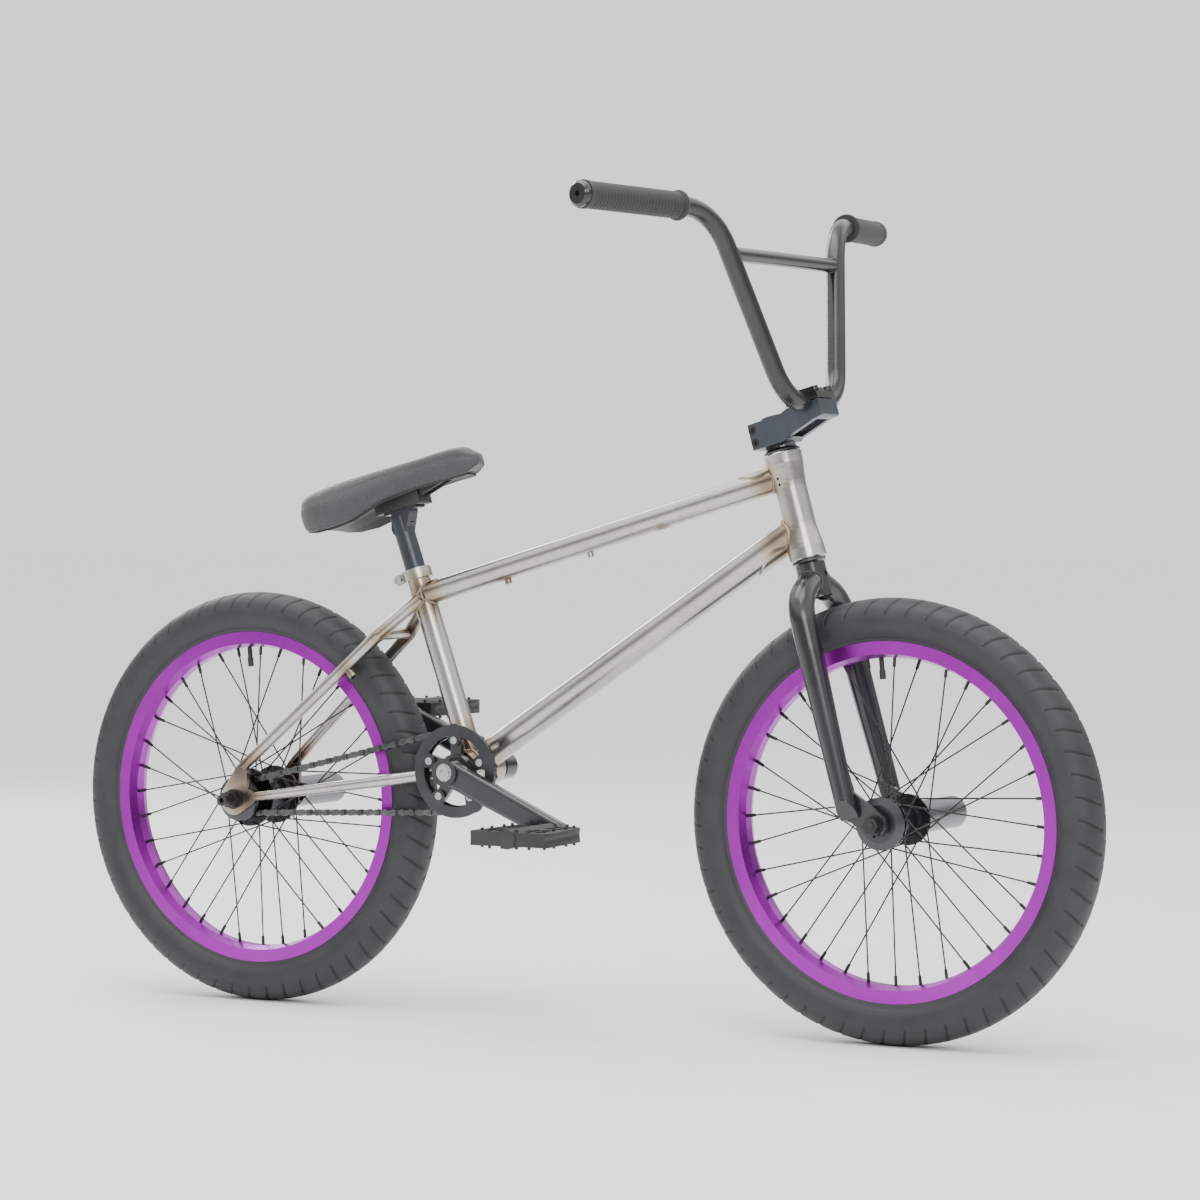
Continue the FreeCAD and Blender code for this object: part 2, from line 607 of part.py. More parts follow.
def crank_arm():
    """Right crank arm: round boss, broad rounded blade and pedal eye."""
    tip = BB + crank_dir * CRANK_LEN
    mid_y = (BLADE_IN + BLADE_OUT) / 2.0
    half = abs(BLADE_IN - BLADE_OUT) / 2.0
    blade = hull2(BB, ARM_R - 1.2, tip, ARM_TIP_R, BLADE_OUT, BLADE_IN)
    edges = []
    for e in blade.Edges:
        if abs(e.BoundBox.YLength) < 1e-6:
            edges.append(e)
    blade = blade.makeFillet(half * 0.62, edges)
    arm = blade.fuse(rod(BB + V(0, ARM_OUT, 0), BB + V(0, ARM_IN, 0), ARM_R))
    arm = arm.fuse(rod(tip + V(0, mid_y + half + 1.0, 0), tip + V(0, mid_y - half - 1.6, 0), ARM_TIP_R - 1.5))
    arm = arm.cut(rod(BB + V(0, -120, 0), BB + V(0, -20, 0), SPINDLE_R))
    return one(arm.cut(rod(tip + V(0, -120, 0), tip + V(0, -20, 0), PEDAL_AXLE_R)))


arm_right = crank_arm()
half_turn = FreeCAD.Placement(V(0, 0, 0), FreeCAD.Rotation(V(0, 1, 0), 180), BB)
arm_left = mirrored(arm_right)
arm_left = arm_left.rotated(BB, V(0, 1, 0), 180)
spindle = rod(BB + V(0, ARM_OUT + 3.0, 0), BB - V(0, ARM_OUT + 3.0, 0), SPINDLE_R)
SPACER_R = 14.5
spacer_l = pipe(BB + V(0, bb_edge + 0.6, 0), BB + V(0, -ARM_IN, 0), SPACER_R, SPINDLE_R)
spacer_r = pipe(BB + V(0, HUB_IN, 0), BB + V(0, -bb_edge - 0.6, 0), SPACER_R, SPINDLE_R)
end_bolts = []
for s in (-1.0, 1.0):
    base = BB + V(0, -s * (ARM_OUT + 3.0), 0)
    cap = rod(base, base + V(0, s * 2.6, 0), SPINDLE_R - 0.4)
    cap = cap.fuse(rod(base + V(0, s * 2.6, 0), base + V(0, s * 5.2, 0), 8.2))
    end_bolts.append(cap.cut(hexagon(base + V(0, s * 1.5, 0), V(0, s, 0), 8.0, 9)))

# ---------------------------------------------------------------- pedals
PEDAL_W = 100.0           # across the bike
PEDAL_L = 108.0           # fore and aft
PEDAL_H = 17.0
PEDAL_PIN = 3.2
BARREL_R = 11.6
pedal_axle_y = BLADE_OUT - 1.2
pedal_in = ARM_OUT - 1.5
AXLE_SHAFT_R = 5.0
tip_r = BB + crank_dir * CRANK_LEN
axle_r = rod(tip_r + V(0, BLADE_IN + 1.0, 0), tip_r + V(0, pedal_in + 0.2, 0), PEDAL_AXLE_R)
axle_r = axle_r.fuse(rod(tip_r + V(0, pedal_in + 0.2, 0), tip_r + V(0, pedal_in - PEDAL_W + 6, 0), AXLE_SHAFT_R))
axle_r = one(axle_r)
axle_l = mirrored(axle_r).rotated(BB, V(0, 1, 0), 180)


def pedal():
    """Right pedal: open cage with hollowed sides, a barrel and moulded pins."""
    c = tip_r + V(0, pedal_in - PEDAL_W / 2, 0)
    hx = PEDAL_L / 2
    hy = PEDAL_W / 2
    hz = PEDAL_H / 2
    ring = [(-hx, -hy * 0.86), (-hx * 0.93, -hy), (hx * 0.93, -hy), (hx, -hy * 0.86),
            (hx * 0.87, hy * 0.8), (hx * 0.74, hy), (-hx * 0.74, hy), (-hx * 0.87, hy * 0.8), (-hx, -hy * 0.86)]
    pts = [V(c.x + x, c.y + y, c.z - hz) for x, y in ring]
    body = Part.Face(Part.makePolygon(pts)).extrude(V(0, 0, PEDAL_H))
    for sx in (-1, 1):
        for y0, y1 in ((-hy + 9, -5.0), (5.0, hy - 9)):
            for a, b in ((14.5, 24.5), (29.5, hx - 15.5)):
                x0 = min(sx * a, sx * b)
                win = Part.makeBox(b - a, y1 - y0, PEDAL_H + 2, V(c.x + x0, c.y + y0, c.z - hz - 1))
                body = body.cut(win)
        groove = rod(V(c.x + sx * (hx + 3.4), c.y - hy * 1.1, c.z), V(c.x + sx * (hx - 4.6), c.y + hy * 1.1, c.z), 7.0)
        body = body.cut(groove)
    body = body.fuse(rod(c - V(0, hy + 1.5, 0), c + V(0, hy, 0), BARREL_R))
    pins = []
    for sx in (-1, 1):
        for x, ys in ((hx - 11.5, (-36, -14, 14, 33)), (27.0, (-45, 44)), (10.0, (-45, 45))):
            for y in ys:
                at = V(c.x + sx * x, c.y + y, c.z - hz - PEDAL_PIN)
                pins.append(rod(at, at + V(0, 0, PEDAL_H + 2 * PEDAL_PIN), 1.9))
    solid = body.fuse(pins)
    solid = solid.cut(rod(c - V(0, hy - 5, 0), c + V(0, hy + 1, 0), AXLE_SHAFT_R + FIT))
    return one(solid)


pedal_right = pedal()
pedal_left = mirrored(pedal_right).rotated(BB, V(0, 1, 0), 180)

# ---------------------------------------------------------------- wheels
FLANGE_T = 3.0


def rim(centre, holes):
    """Double wall rim with hooked flanges, a dropped bed and a bevelled crown."""
    w = RIM_HALF
    side = RIM_R - RIM_SIDE
    deep = RIM_R - RIM_DEPTH
    outline = [(w, RIM_R), (w - RIM_WALL, RIM_R), (w - RIM_WALL, RIM_R - 5.2), (6.5, RIM_R - 6.0),
               (5.0, RIM_R - 8.6), (-5.0, RIM_R - 8.6), (-6.5, RIM_R - 6.0),
               (-w + RIM_WALL, RIM_R - 5.2), (-w + RIM_WALL, RIM_R), (-w, RIM_R),
               (-w, side), (-7.0, deep), (7.0, deep), (w, side)]
    body = lathe(outline, centre, V(0, 1, 0))
    t = RIM_WALL
    cave = [(w - t, RIM_R - 6.9), (7.3, RIM_R - 7.7), (5.6, RIM_R - 10.2), (-5.6, RIM_R - 10.2),
            (-7.3, RIM_R - 7.7), (-w + t, RIM_R - 6.9), (-w + t, side + 0.8),
            (-6.7, deep + t), (6.7, deep + t), (w - t, side + 0.8)]
    body = body.cut(lathe(cave, centre, V(0, 1, 0)))
    return body.cut(holes)


def tyre(centre):
    """Wide low-profile tyre whose beads sit inside the rim flanges."""
    w = TYRE_W / 2.0
    grip = RIM_HALF - RIM_WALL - 0.05
    low = RIM_R - 5.1
    rise = TYRE_R - RIM_R
    outer_pts = [(grip, RIM_R + 0.3), (w * 0.78, RIM_R + rise * 0.11), (w * 0.945, RIM_R + rise * 0.27),
                 (w, RIM_R + rise * 0.47), (w * 0.93, RIM_R + rise * 0.68), (w * 0.72, RIM_R + rise * 0.85),
                 (w * 0.38, RIM_R + rise * 0.965), (0.0, TYRE_R)]
    inner_pts = [(grip - 2.6, RIM_R + 0.3), (w * 0.70, RIM_R + rise * 0.16), (w * 0.85, RIM_R + rise * 0.30),
                 (w * 0.90, RIM_R + rise * 0.46), (w * 0.83, RIM_R + rise * 0.63), (w * 0.62, RIM_R + rise * 0.79),
                 (w * 0.34, RIM_R + rise * 0.885), (0.0, TYRE_R - 4.6)]

    def curve(half):
        pts = [V(r, 0, y) for y, r in half]
        pts.extend([V(r, 0, -y) for y, r in reversed(half[:-1])])
        line = Part.BSplineCurve()
        line.interpolate(pts)
        return line.toShape()

    out_edge = curve(outer_pts)
    in_edge = curve(inner_pts)
    a = V(low, 0, grip)
    b = V(low, 0, grip - 4.2)
    ao = V(RIM_R + 0.3, 0, grip)
    bo = V(RIM_R + 0.3, 0, grip - 2.6)
    am = V(low, 0, -grip)
    bm = V(low, 0, -grip + 4.2)
    aom = V(RIM_R + 0.3, 0, -grip)
    bom = V(RIM_R + 0.3, 0, -grip + 2.6)
    edges = [out_edge, Part.makeLine(aom, am), Part.makeLine(am, bm), Part.makeLine(bm, bom),
             in_edge, Part.makeLine(bo, b), Part.makeLine(b, a), Part.makeLine(a, ao)]
    wire = Part.Wire(Part.__sortEdges__(edges))
    solid = Part.Face(wire).revolve(V(0, 0, 0), V(0, 0, 1), 360)
    solid = Part.Solid(solid) if solid.ShapeType == "Shell" else solid
    solid.Placement = FreeCAD.Placement(centre, FreeCAD.Rotation(V(0, 0, 1), V(0, 1, 0)))
    return solid


def lacing(centre, flange_r, flange_y):
    """36 spokes laced three cross, each in one piece with its elbow and nipple."""
    spokes = []
    rim_holes = []
    hub_holes = []
    per_side = SPOKES // 2
    step = 360.0 / per_side
    for side in (0, 1):
        y_mid = flange_y[side]
        s = -1.0 if side == 0 else 1.0
        for j in range(per_side):
            a = math.radians(step * j + side * step / 2.0)
            out = j % 2 == 0
            b = a + math.radians(60.0 if out else -60.0)
            y_face = y_mid + s * (FLANGE_T / 2.0 + SPOKE_R + 1.5) if out else y_mid - s * (FLANGE_T / 2.0 + SPOKE_R + 0.3)
            y_rim = s * (2.2 if out else 1.2)
            hole = centre + V(flange_r * math.cos(a), y_mid, flange_r * math.sin(a))
            elbow = V(hole.x, centre.y + y_face, hole.z)
            bed = RIM_R - RIM_DEPTH
            far = centre + V(bed * math.cos(b), y_rim, bed * math.sin(b))
            d = (far - elbow).normalize()
            spoke = rod(elbow, far - d * 9.0, SPOKE_R)
            sign = 1.0 if y_face > y_mid else -1.0
            head_y = y_mid - sign * (FLANGE_T / 2.0 + 0.05)
            head_at = V(hole.x, centre.y + head_y, hole.z)
            spoke = spoke.fuse(rod(head_at, elbow + V(0, sign * SPOKE_R, 0), SPOKE_R * 1.08))
            spoke = spoke.fuse(rod(head_at, head_at - V(0, sign * 0.9, 0), 1.8))
            spoke = spoke.fuse(rod(far - d * 11.0, far + d * 2.6, 1.95))
            spokes.append(sorted(spoke.Solids, key=lambda s: s.Volume)[-1])
            rim_holes.append(rod(far - d * 6.0, far + d * 4.5, 2.05))
            hub_holes.append(rod(hole - V(0, 4, 0), hole + V(0, 4, 0), SPOKE_R + 0.1))
    return spokes, rim_holes, hub_holes


def valve(centre, at_deg):
    """Valve stem through the rim towards the hub, with its cap."""
    a = math.radians(at_deg)
    d = V(math.cos(a), 0, math.sin(a))
    top = centre + d * (RIM_R - 4.0)
    stem = rod(top, centre + d * (RIM_R - RIM_DEPTH - 14.0), 3.0)
    cap = rod(centre + d * (RIM_R - RIM_DEPTH - 14.0), centre + d * (RIM_R - RIM_DEPTH - 25.0), 3.7)
    return stem.fuse(cap)


def valve_hole(centre, at_deg):
    """Drilling in the rim for the valve."""
    a = math.radians(at_deg)
    d = V(math.cos(a), 0, math.sin(a))
    return rod(centre + d * (RIM_R - 1.0), centre + d * (RIM_R - RIM_DEPTH - 3.0), 3.1)


VALVE_DEG = 5.0 + 90.0
REAR_FLANGE_R = 33.0
REAR_FLANGES = (-25.5, 31.0)
FRONT_FLANGE_R = 26.5
FRONT_FLANGES = (-31.0, 33.0)
HUB_BEARING_R = 15.0
FRONT_BEARING_R = 13.0

front_c = V(XF, 0, ZA)
rear_spokes, rear_rim_holes, rear_hub_holes = lacing(rear_c, REAR_FLANGE_R, REAR_FLANGES)
front_spokes, front_rim_holes, front_hub_holes = lacing(front_c, FRONT_FLANGE_R, FRONT_FLANGES)


def hub(centre, ends, flanges, flange_r, barrel_r, neck_r, bore_r, bearing_r, holes):
    """Hub shell with two drilled flanges and a seat for a bearing in each end."""
    fa, fb = flanges
    ft = FLANGE_T / 2.0
    edge = flange_r + 3.6
    outline = [(ends[0], bore_r), (ends[0], neck_r), (fa - ft, neck_r), (fa - ft, edge), (fa + ft, edge),
               (fa + ft, barrel_r + 3.0), (fa + ft + 4.0, barrel_r), (fb - ft - 4.0, barrel_r),
               (fb - ft, barrel_r + 3.0), (fb - ft, edge), (fb + ft, edge), (fb + ft, neck_r),
               (ends[1], neck_r), (ends[1], bore_r)]
    body = lathe(outline, centre, V(0, 1, 0))
    body = body.cut(rod(centre + V(0, ends[0] - 1, 0), centre + V(0, ends[0] + 9, 0), bearing_r))
    body = body.cut(rod(centre + V(0, ends[1] - 9, 0), centre + V(0, ends[1] + 1, 0), bearing_r))
    return one(body.cut(holes))


REAR_ENDS = (-27.6, 40.0)
FRONT_ENDS = (-38.6, 41.0)
rear_hub = hub(rear_c, REAR_ENDS, REAR_FLANGES, REAR_FLANGE_R, 24.0, 18.5, REAR_AXLE_R + 3.0,
               HUB_BEARING_R, rear_hub_holes)
front_hub = hub(front_c, FRONT_ENDS, FRONT_FLANGES, FRONT_FLANGE_R, 16.5, 16.5, FRONT_AXLE_R + 3.0,
                FRONT_BEARING_R, front_hub_holes)
rear_bearings = []
front_bearings = []
for y0, y1 in ((REAR_ENDS[0], REAR_ENDS[0] + 9.0), (REAR_ENDS[1] - 9.0, REAR_ENDS[1])):
    rear_bearings.append(ring(rear_c + V(0, y0, 0), rear_c + V(0, y1, 0), HUB_BEARING_R, REAR_AXLE_R + FIT))
for y0, y1 in ((FRONT_ENDS[0], FRONT_ENDS[0] + 9.0), (FRONT_ENDS[1] - 9.0, FRONT_ENDS[1])):
    front_bearings.append(ring(front_c + V(0, y0, 0), front_c + V(0, y1, 0), FRONT_BEARING_R, FRONT_AXLE_R + FIT))

rear_rim = rim(rear_c, rear_rim_holes + [valve_hole(rear_c, VALVE_DEG)])
front_rim = rim(front_c, front_rim_holes + [valve_hole(front_c, VALVE_DEG)])


def guard_cup(centre, y_in, y_out, r, bore, s):
    """Dished hub guard clamped on the axle, open towards the spokes."""
    outline = [(0, bore), (0, r * 0.72), (3.2, r), (abs(y_out - y_in), r), (abs(y_out - y_in), r - 2.2),
               (4.0, r - 3.0), (3.6, bore)]
    return lathe(outline, centre + V(0, y_out, 0), V(0, -s, 0))


# right rear guard and its cone fill the space between the driver and the dropout
REAR_GUARD_R = 28.0
rear_guard = guard_cup(rear_c, -46.0, -DROP_Y, REAR_GUARD_R, REAR_AXLE_R, -1.0)
cone_r = pipe(rear_c + V(0, -DROP_Y + 3.6, 0), rear_c + V(0, CHAIN_Y - 3.4 - GAP, 0), 11.0, REAR_AXLE_R)
cone_l = pipe(rear_c + V(0, REAR_ENDS[1] + GAP, 0), rear_c + V(0, DROP_Y, 0), 12.0, REAR_AXLE_R)
FORK_IN = FORK_GAP / 2.0
FRONT_GUARD_R = 30.5
FRONT_GUARD_Y = -43.4
front_guard = guard_cup(front_c, -37.4, FRONT_GUARD_Y, FRONT_GUARD_R, FRONT_AXLE_R, -1.0)
front_guard = front_guard.fuse(pipe(front_c + V(0, -FORK_IN, 0), front_c + V(0, FRONT_GUARD_Y, 0), 10.5, FRONT_AXLE_R))
front_cone_l = pipe(front_c + V(0, FRONT_ENDS[1] + GAP, 0), front_c + V(0, FORK_IN, 0), 9.5, FRONT_AXLE_R)


def flange_nut(centre, y, s, bore, flats, flange):
    """Axle nut with a round washer face, pressed against y and pointing to side s."""
    base = centre + V(0, y, 0)
    nut = rod(base, base + V(0, s * 2.4, 0), flange)
    nut = nut.fuse(hexagon(base + V(0, s * 2.4, 0), V(0, s, 0), flats, 8.6))
    return nut.cut(rod(base - V(0, s, 0), base + V(0, s * 20, 0), bore))


PEG_FLOOR = 12.0


def peg(centre, y, bore):
    """Hollow grind peg whose floor is clamped under the axle nut."""
    base = centre + V(0, y, 0)
    body = rod(base, base + V(0, PEG_LEN, 0), PEG_R)
    body = body.cut(rod(base + V(0, PEG_FLOOR, 0), base + V(0, PEG_LEN + 1, 0), PEG_R - 3.5))
    body = body.cut(rod(base - V(0, 1, 0), base + V(0, PEG_FLOOR + 1, 0), bore))
    return body


rear_y = DROP_Y + PLATE_T
front_y = FORK_IN + PLATE_T
rear_nuts = [flange_nut(rear_c, -rear_y, -1.0, REAR_AXLE_R, 19.0, 12.6),
             flange_nut(rear_c, rear_y + PEG_FLOOR, 1.0, REAR_AXLE_R, 19.0, 12.6)]
front_nuts = [flange_nut(front_c, -front_y, -1.0, FRONT_AXLE_R, 17.0, 11.6),
              flange_nut(front_c, front_y + PEG_FLOOR, 1.0, FRONT_AXLE_R, 17.0, 11.6)]
rear_axle = rod(rear_c + V(0, -AXLE_TIP_REAR, 0), rear_c + V(0, AXLE_TIP_REAR, 0), REAR_AXLE_R)
front_axle = rod(front_c + V(0, -AXLE_TIP_FRONT, 0), front_c + V(0, AXLE_TIP_FRONT + 12.0, 0), FRONT_AXLE_R)
rear_axle = rear_axle.cut(hexagon(rear_c + V(0, -AXLE_TIP_REAR - 1, 0), V(0, 1, 0), 6.0, 7.0))
rear_peg = peg(rear_c, rear_y, REAR_AXLE_R)
front_peg = peg(front_c, front_y, FRONT_AXLE_R)

# ---------------------------------------------------------------- fork
CROWN_R = 17.6
crown_top = -HEAD_LEN - 0.9
CROWN_LEN = 45.5
STEERER_TOP = 43.5
LEG_HALF = 52.0
LEG_WALL = 2.2
LEG_PLUG = 45.0           # solid lower end of a fork leg
steerer = rod(head(crown_top, 0), head(STEERER_TOP, 0), STEERER_R)
race = lathe([(0, STEERER_R - 1), (0, HEAD_R - 2.4), (-3.0, HEAD_R - 1.8), (-5.0, CROWN_R), (-5.0, STEERER_R - 1)],
             head(crown_top, 0), UP_AXIS)
steerer = steerer.fuse(rod(head(crown_top - CROWN_LEN, 0), head(crown_top, 0), CROWN_R)).fuse(race)
steerer = steerer.cut(rod(head(crown_top - CROWN_LEN - 1, 0), head(STEERER_TOP + 1, 0), STEERER_R - 2.6))
steerer = steerer.cut(rod(head(crown_top - 20, 0), head(crown_top - 20, 40), 3.1))
steerer = one(steerer)

leg_top = head(-152.0, 0, 0)
leg_knee = head(-177.0, 0, -LEG_HALF)
leg_end = head(-436.0, 0, -(FORK_IN + 13.0))
knee_turn = 42.0
leg_dir = (leg_end - leg_knee).normalize()
arm_part = bent([leg_top, leg_knee, leg_knee + leg_dir * 60.0], [knee_turn], LEG_R_TOP)
leg_mid = leg_knee + leg_dir * 60.0
leg_low = rod(leg_mid, leg_end, LEG_R_TOP, LEG_R_END)
leg = arm_part.fuse(leg_low)
bore_r = LEG_R_TOP - LEG_WALL
bore_end = leg_end - leg_dir * LEG_PLUG
bore_end_r = LEG_R_END - LEG_WALL
leg = leg.cut(bent([leg_top, leg_knee, leg_knee + leg_dir * 60.0], [knee_turn], bore_r))
leg = leg.cut(rod(leg_mid - leg_dir * 3.0, bore_end, bore_r - 0.5, bore_end_r))
toe_out = (UP_AXIS * -0.55 + V(0, -0.83, 0)).normalize()
toe = Part.makeBox(80, 80, 40, V(-40, -40, 0))
toe.Placement = FreeCAD.Placement(leg_end + UP_AXIS * 10.0 - V(0, 3.0, 0), FreeCAD.Rotation(V(0, 0, 1), toe_out))
leg = leg.cut(toe)
leg = leg.cut(rod(head(40, 0), head(-220, 0), CROWN_R))
mid_cut = Part.makeBox(400, 100, 800, V(XF - 300, 0, 0))
leg = leg.cut(mid_cut)
leg = sorted(leg.Solids, key=lambda s: s.Volume)[-1]
fork_drop = hull2(leg_end + UP_AXIS * 26 + ACROSS * 1, 9.0, V(XF, 0, ZA), 15.0, -front_y, -FORK_IN)
fork_drop = fork_drop.fuse(hull2(leg_end + UP_AXIS * 8, 9.0, V(XF, 0, ZA), 15.0, -front_y, -FORK_IN))
fork_slot = Part.makeBox(2 * (FRONT_AXLE_R + 0.1), 40, 60, V(-FRONT_AXLE_R - 0.1, -20, -60))
fork_slot.Placement = FreeCAD.Placement(V(XF, -FORK_IN, ZA), FreeCAD.Rotation(V(0, 1, 0), -18))
fork_drop = fork_drop.cut(fork_slot)
fork_drop = fork_drop.cut(rod(V(XF, -FORK_IN - 20, ZA), V(XF, -FORK_IN + 20, ZA), FRONT_AXLE_R + 0.1))
fork_drop = one(fork_drop)
tab_seat = Part.makeBox(80, PLATE_T + 20, 90, V(leg_end.x - 40, -front_y, leg_end.z + 36 - 90))
leg = sorted(leg.cut(tab_seat).Solids, key=lambda s: s.Volume)[-1]

# ---------------------------------------------------------------- headset cap and stem
CAP_LOW = 0.6
STEM_LOW = 9.8
STEM_TOP = 41.5
cap_cone = lathe([(CAP_LOW, STEERER_R), (CAP_LOW, HEAD_R - 0.8), (CAP_LOW + 1.8, HEAD_R - 0.4),
                  (5.4, STEERER_R + 4.0), (STEM_LOW, STEERER_R + 3.6), (STEM_LOW, STEERER_R)], HEAD_TOP, UP_AXIS)


def stem_plate(points, half):
    """Block drawn in the steering plane: points are (along, across)."""
    ring = [head(a, c, -half) for a, c in points]
    ring.append(ring[0])
    return Part.Face(Part.makePolygon(ring)).extrude(V(0, 2 * half, 0))


SPLIT = BAR_UP
CLAMP_BACK = BAR_REACH - 19.5
CLAMP_FRONT = BAR_REACH + 19.8
stem_outline = [(STEM_LOW, -24.5), (STEM_LOW, 16.5), (STEM_LOW + 3.0, 20.5), (BAR_UP - 22.0, CLAMP_FRONT - 12.0),
                (BAR_UP - 20.6, CLAMP_FRONT - 2.0), (BAR_UP - 19.0, CLAMP_FRONT), (SPLIT - 0.6, CLAMP_FRONT),
                (SPLIT - 0.6, CLAMP_BACK - 3.0), (STEM_TOP, 20.0), (STEM_TOP - 1.0, -24.5)]
stem = stem_plate(stem_outline, STEM_HALF)
pocket = stem_plate([(STEM_LOW + 8.5, 22.0), (BAR_UP - 17.5, CLAMP_FRONT - 15.0), (STEM_LOW - 4, CLAMP_FRONT),
                     (STEM_LOW - 4, 26.0)], STEM_HALF - 9.0)
stem = stem.cut(pocket)
stem = stem.cut(rod(head(0, 0), head(80, 0), STEERER_R))
stem = stem.cut(stem_plate([(STEM_LOW - 1, -40), (STEM_LOW - 1, -STEERER_R + 2), (STEM_TOP + 1, -STEERER_R + 2),
                            (STEM_TOP + 1, -40)], 1.2))
bar_c = head(BAR_UP, BAR_REACH)
stem = stem.cut(rod(bar_c - V(0, 40, 0), bar_c + V(0, 40, 0), BAR_R))
cap_outline = [(SPLIT + 0.6, CLAMP_BACK - 3.0), (SPLIT + 0.6, CLAMP_FRONT), (SPLIT + 9.0, CLAMP_FRONT),
               (SPLIT + 15.0, CLAMP_FRONT - 6.0), (SPLIT + 15.6, CLAMP_BACK + 5.0), (SPLIT + 11.0, CLAMP_BACK - 3.0)]
stem_cap = stem_plate(cap_outline, STEM_HALF)
stem_cap = stem_cap.cut(rod(bar_c - V(0, 40, 0), bar_c + V(0, 40, 0), BAR_R))
stem_bolts = []
BOLT_R = 3.0
for c in (BAR_REACH - 15.6, BAR_REACH + 15.4):
    for y in (-STEM_HALF + 6.2, STEM_HALF - 6.2):
        top = head(SPLIT + 10.5, c, y)
        hole = rod(head(SPLIT - 15.0, c, y), head(SPLIT + 25, c, y), BOLT_R)
        sink = rod(top, head(SPLIT + 25, c, y), 4.9)
        stem = stem.cut(hole)
        stem_cap = stem_cap.cut(hole).cut(sink)
        stem_bolts.append(socket_bolt(top, UP_AXIS, 4.7, 5.0, BOLT_R, 25.0))
for a in (STEM_LOW + 8.0, STEM_TOP - 9.0):
    at = head(a, -19.0, -STEM_HALF + 4.2)
    sink = rod(at, at - V(0, 10, 0), 4.9)
    stem = stem.cut(rod(at - V(0, 10, 0), at + V(0, 60, 0), BOLT_R)).cut(sink)
    stem_bolts.append(socket_bolt(at, V(0, -1, 0), 4.7, 3.6, BOLT_R, 2 * STEM_HALF - 6.0))
top_cap_bolt = lathe([(STEM_TOP, 0), (STEM_TOP, 15.2), (STEM_TOP + 1.0, 15.6), (STEM_TOP + 2.6, 15.0),
                      (STEM_TOP + 3.4, 12.0), (STEM_TOP + 3.4, 0)], HEAD_TOP, UP_AXIS)
top_cap_bolt = top_cap_bolt.cut(hexagon(head(STEM_TOP + 0.6, 0), UP_AXIS, 8.0, 9.0))
steerer = steerer.cut(rod(head(STEM_TOP, 0), head(STEM_TOP + 9, 0), STEERER_R + 3))
stem_bolts.append(top_cap_bolt)
stem = one(stem)
stem_cap = one(stem_cap)

# ---------------------------------------------------------------- handlebar
lean_b = math.radians(BAR_LEAN)
bar_up = V(-math.sin(lean_b), 0, math.cos(lean_b))


def bar_points(s):
    """Bend points of one side of the bar: clamp end, shoulder and tip."""
    foot = bar_c + V(0, s * BAR_FLAT, 0)
    corner = bar_c + V(0, s * BAR_CORNER_Y, 0) + bar_up * BAR_RISE
    tip = V(corner.x - BAR_SWEEP, s * BAR_HALF, corner.z + BAR_UPSWEEP)
    return foot, corner, tip


foot_r, corner_r, tip_end_r = bar_points(-1.0)
foot_l, corner_l, tip_end_l = bar_points(1.0)
END_PLUG = 8.0
grip_dir_r = (tip_end_r - corner_r).normalize()
bar_stop_r = tip_end_r - grip_dir_r * END_PLUG
bar_stop_l = V(bar_stop_r.x, -bar_stop_r.y, bar_stop_r.z)
bar_path = [bar_stop_r, corner_r, foot_r, foot_l, corner_l, bar_stop_l]
bar_bends = [74.0, 60.0, 60.0, 74.0]
handlebar = bent(bar_path, bar_bends, BAR_R)
bar_hollow = bent(bar_path, bar_bends, BAR_R - 2.2)
handlebar = handlebar.cut(bar_hollow)
cross_r = foot_r + (corner_r - foot_r) * CROSS_AT
cross_l = V(cross_r.x, -cross_r.y, cross_r.z)
crossbar = pipe(cross_r, cross_l, CROSS_R, CROSS_R - 1.6).cut(rod(foot_r, corner_r, BAR_R)).cut(rod(foot_l, corner_l, BAR_R))
crossbar = sorted(crossbar.Solids, key=lambda s: s.Volume)[-1]


def grip():
    """Right hand grip: collar, ribbed sleeve and a thicker outer end."""
    end = tip_end_r - grip_dir_r * END_PLUG
    start = end - grip_dir_r * GRIP_LEN
    outline = [(0, BAR_R), (0, GRIP_R + 1.2), (2.2, GRIP_R + 2.0), (5.0, GRIP_R + 1.4), (6.4, GRIP_R - 1.0)]
    h = 9.0
    while h < GRIP_LEN - 12.0:
        outline.append((h, GRIP_R - 1.0))
        outline.append((h + 0.8, GRIP_R - 0.2))
        outline.append((h + 3.2, GRIP_R - 0.2))
        outline.append((h + 4.0, GRIP_R - 1.0))
        h = h + 5.2
    outline.append((GRIP_LEN - 9.0, GRIP_R - 1.0))
    outline.append((GRIP_LEN - 7.5, GRIP_R + 0.5))
    outline.append((GRIP_LEN, GRIP_R + 0.5))
    outline.append((GRIP_LEN, BAR_R))
    return lathe(outline, start, grip_dir_r)


grip_right = grip()
grip_left = mirrored(grip_right)
plug_base = tip_end_r - grip_dir_r * END_PLUG
plug = lathe([(-14.0, 0), (-14.0, BAR_R - 2.3), (0, BAR_R - 2.3), (0, GRIP_R - 0.4), (5.0, GRIP_R - 0.6),
              (8.0, GRIP_R - 4.0), (8.0, 0)], plug_base, grip_dir_r)
plug = plug.cut(hexagon(plug_base + grip_dir_r * 3.0, grip_dir_r, 6.0, 9.0))
plug_left = mirrored(plug)

